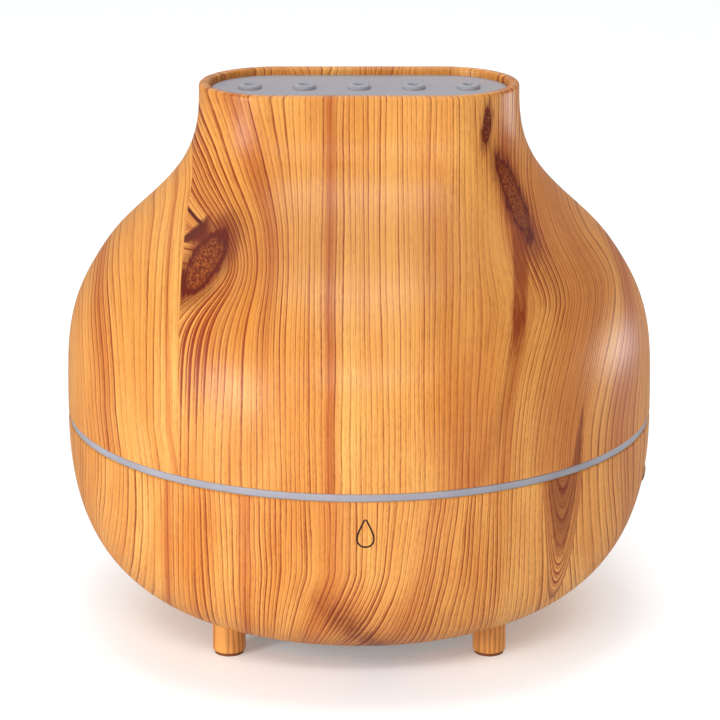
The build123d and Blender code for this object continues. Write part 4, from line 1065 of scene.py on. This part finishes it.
nickel = metal("nickel", rgb(206, 204, 198), rgb(174, 172, 168), 0.22)
magnet = metal("magnet", rgb(78, 78, 84), rgb(58, 58, 62), 0.45)
board = circuit_board("circuit_board")
peg = foot_wood()

dress(plate_grey, "mist_plate")
dress(ring_grey, "light_ring")
dress(milky, "mist_guide")
dress(tank_white, "water_tank", "duct_cap")
dress(silicone, "atomizer_seal")
dress(black, "atomizer_retainer", "fan_frame", "fan_rotor", "dc_jack")
dress(chip, "control_chip", "driver_transistor", "tact_switches")
dress(brown, "bottom_cover")
dress(button_brown, "mist_button", "light_button")
dress(header, "board_headers")
dress(rubber, "foot_pads")
dress(sleeve, "driver_capacitors")
dress(ferrite, "driver_inductor")
dress(led, "leds")
dress(steel, "guide_screws", "retainer_screws", "fan_screws", "board_screws")
dress(steel, "button_board_screws", "bottom_screws", "foot_screws")
dress(ground, "fan_shaft")
dress(brass, "fan_bearing")
dress(disc, "atomizer_disc")
dress(alloy, "driver_heatsink")
dress(iron, "fan_stator")
dress(nickel, "jack_nut")
dress(magnet, "fan_magnet")
dress(board, "driver_board", "led_board", "button_board")
dress(peg, *FEET)
dress(wire_pair("fan_wires", 1, -8), "fan_leads")
dress(wire_pair("disc_wires", 1, 0), "atomizer_leads")
dress(wire_pair("power_wires", 0, 1), "power_leads")
dress(wire_pair("switch_wires", 1, 12), "switch_leads")
dress(wire_pair("light_wires", 0, 18), "led_leads")


# ---------------------------------------------------------------- floor, lights and camera
height = cad_box[1][2]
width = 2 * BODY_RADIUS * MM
FLOOR_REACH = 3.0
BACKDROP_START = 1.2
BACKDROP_BEND = 0.8
BACKDROP_TOP = 3.0
FLOOR_GLOW = 0.2
WORLD_GLOW = 0.3
WHITE = (1.0, 1.0, 1.0, 1.0)
CAMERA_PITCH = math.radians(16.7)
CAMERA_LENS = 156.2
CAMERA_SENSOR = 36
CAMERA_SHIFT = 0.0012
CAMERA_WIDTHS = 5.38
AIM_HEIGHTS = 0.479


def studio_floor():
    """Pale floor that curves up into the backdrop."""
    mesh = bpy.data.meshes.new("floor")
    profile = [(-FLOOR_REACH, 0.0), (BACKDROP_START, 0.0)]
    for step in range(1, 17):
        turn = math.radians(90 * step / 16)
        along = BACKDROP_START + BACKDROP_BEND * math.sin(turn)
        profile.append((along, BACKDROP_BEND - BACKDROP_BEND * math.cos(turn)))
    profile.append((BACKDROP_START + BACKDROP_BEND, BACKDROP_TOP))
    points = [(x, y, z) for y, z in profile for x in (-FLOOR_REACH, FLOOR_REACH)]
    faces = [(2 * i, 2 * i + 1, 2 * i + 3, 2 * i + 2) for i in range(len(profile) - 1)]
    mesh.from_pydata(points, [], faces)
    mesh.shade_smooth()
    material, tree, shader = new_material("studio_floor", Specular_IOR_Level=0.3)
    point, _ = place_in(tree, 1.0)
    mottle = noise(point, scale=9.0, detail=3.0)
    tone = blend(mottle + 0.5, rgb(240, 248, 252), rgb(237, 245, 250))
    tree.links.new(tone, shader.inputs["Base Color"])
    tree.links.new((mottle * 0.1 + 0.4).socket, shader.inputs["Roughness"])
    shader.inputs["Emission Color"].default_value = WHITE
    shader.inputs["Emission Strength"].default_value = FLOOR_GLOW
    mesh.materials.append(material)
    floor = bpy.data.objects.new("floor", mesh)
    floor.visible_glossy = False
    bpy.context.scene.collection.objects.link(floor)


def softbox(name, place, aim, size, power, spread=180):
    """Rectangular studio light facing a point."""
    lamp = bpy.data.lights.new(name, "AREA")
    lamp.shape = "RECTANGLE"
    lamp.size, lamp.size_y = size
    lamp.energy = power
    lamp.spread = math.radians(spread)
    thing = bpy.data.objects.new(name, lamp)
    thing.location = place
    thing.rotation_euler = (Vector(aim) - Vector(place)).to_track_quat("-Z", "Y").to_euler()
    bpy.context.scene.collection.objects.link(thing)


def add_camera():
    """Long lens looking slightly down at the front."""
    distance = CAMERA_WIDTHS * width
    back, rise = distance * math.cos(CAMERA_PITCH), distance * math.sin(CAMERA_PITCH)
    camera = bpy.data.cameras.new("camera")
    camera.lens = CAMERA_LENS
    camera.sensor_width = CAMERA_SENSOR
    camera.shift_x = CAMERA_SHIFT
    thing = bpy.data.objects.new("camera", camera)
    thing.location = (0, -back, AIM_HEIGHTS * height + rise)
    thing.rotation_euler = (math.radians(90) - CAMERA_PITCH, 0, 0)
    bpy.context.scene.collection.objects.link(thing)
    bpy.context.scene.camera = thing


mark = build_mark()
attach(mark, "base")

studio_floor()
middle = (0, 0, 0.5 * height)
softbox("left_softbox", (-1.06, -0.92, 0.38), middle, (0.4, 0.7), 13)
softbox("front_softbox", (0.0, -1.15, 0.95), middle, (0.9, 0.4), 4.2)
softbox("overhead", (0.0, -0.12, 1.3), middle, (0.4, 0.4), 4)
softbox("right_rim", (0.5, 0.2, 0.07), (0, 0, 0.09), (0.2, 0.12), 0.65)
softbox("floor_wash", (0.0, -0.62, 0.5), (0, -0.3, 0), (0.8, 0.1), 0.6, spread=50)
softbox("back_wash", (0.0, 1.0, 1.0), (0, 0.6, 0.2), (1.6, 0.6), 7)

world = bpy.data.worlds.new("studio")
bpy.context.scene.world = world
world.use_nodes = True
backdrop = world.node_tree.nodes["Background"]
backdrop.inputs["Color"].default_value = WHITE
backdrop.inputs["Strength"].default_value = WORLD_GLOW
bpy.context.scene.view_settings.view_transform = "Standard"
add_camera()
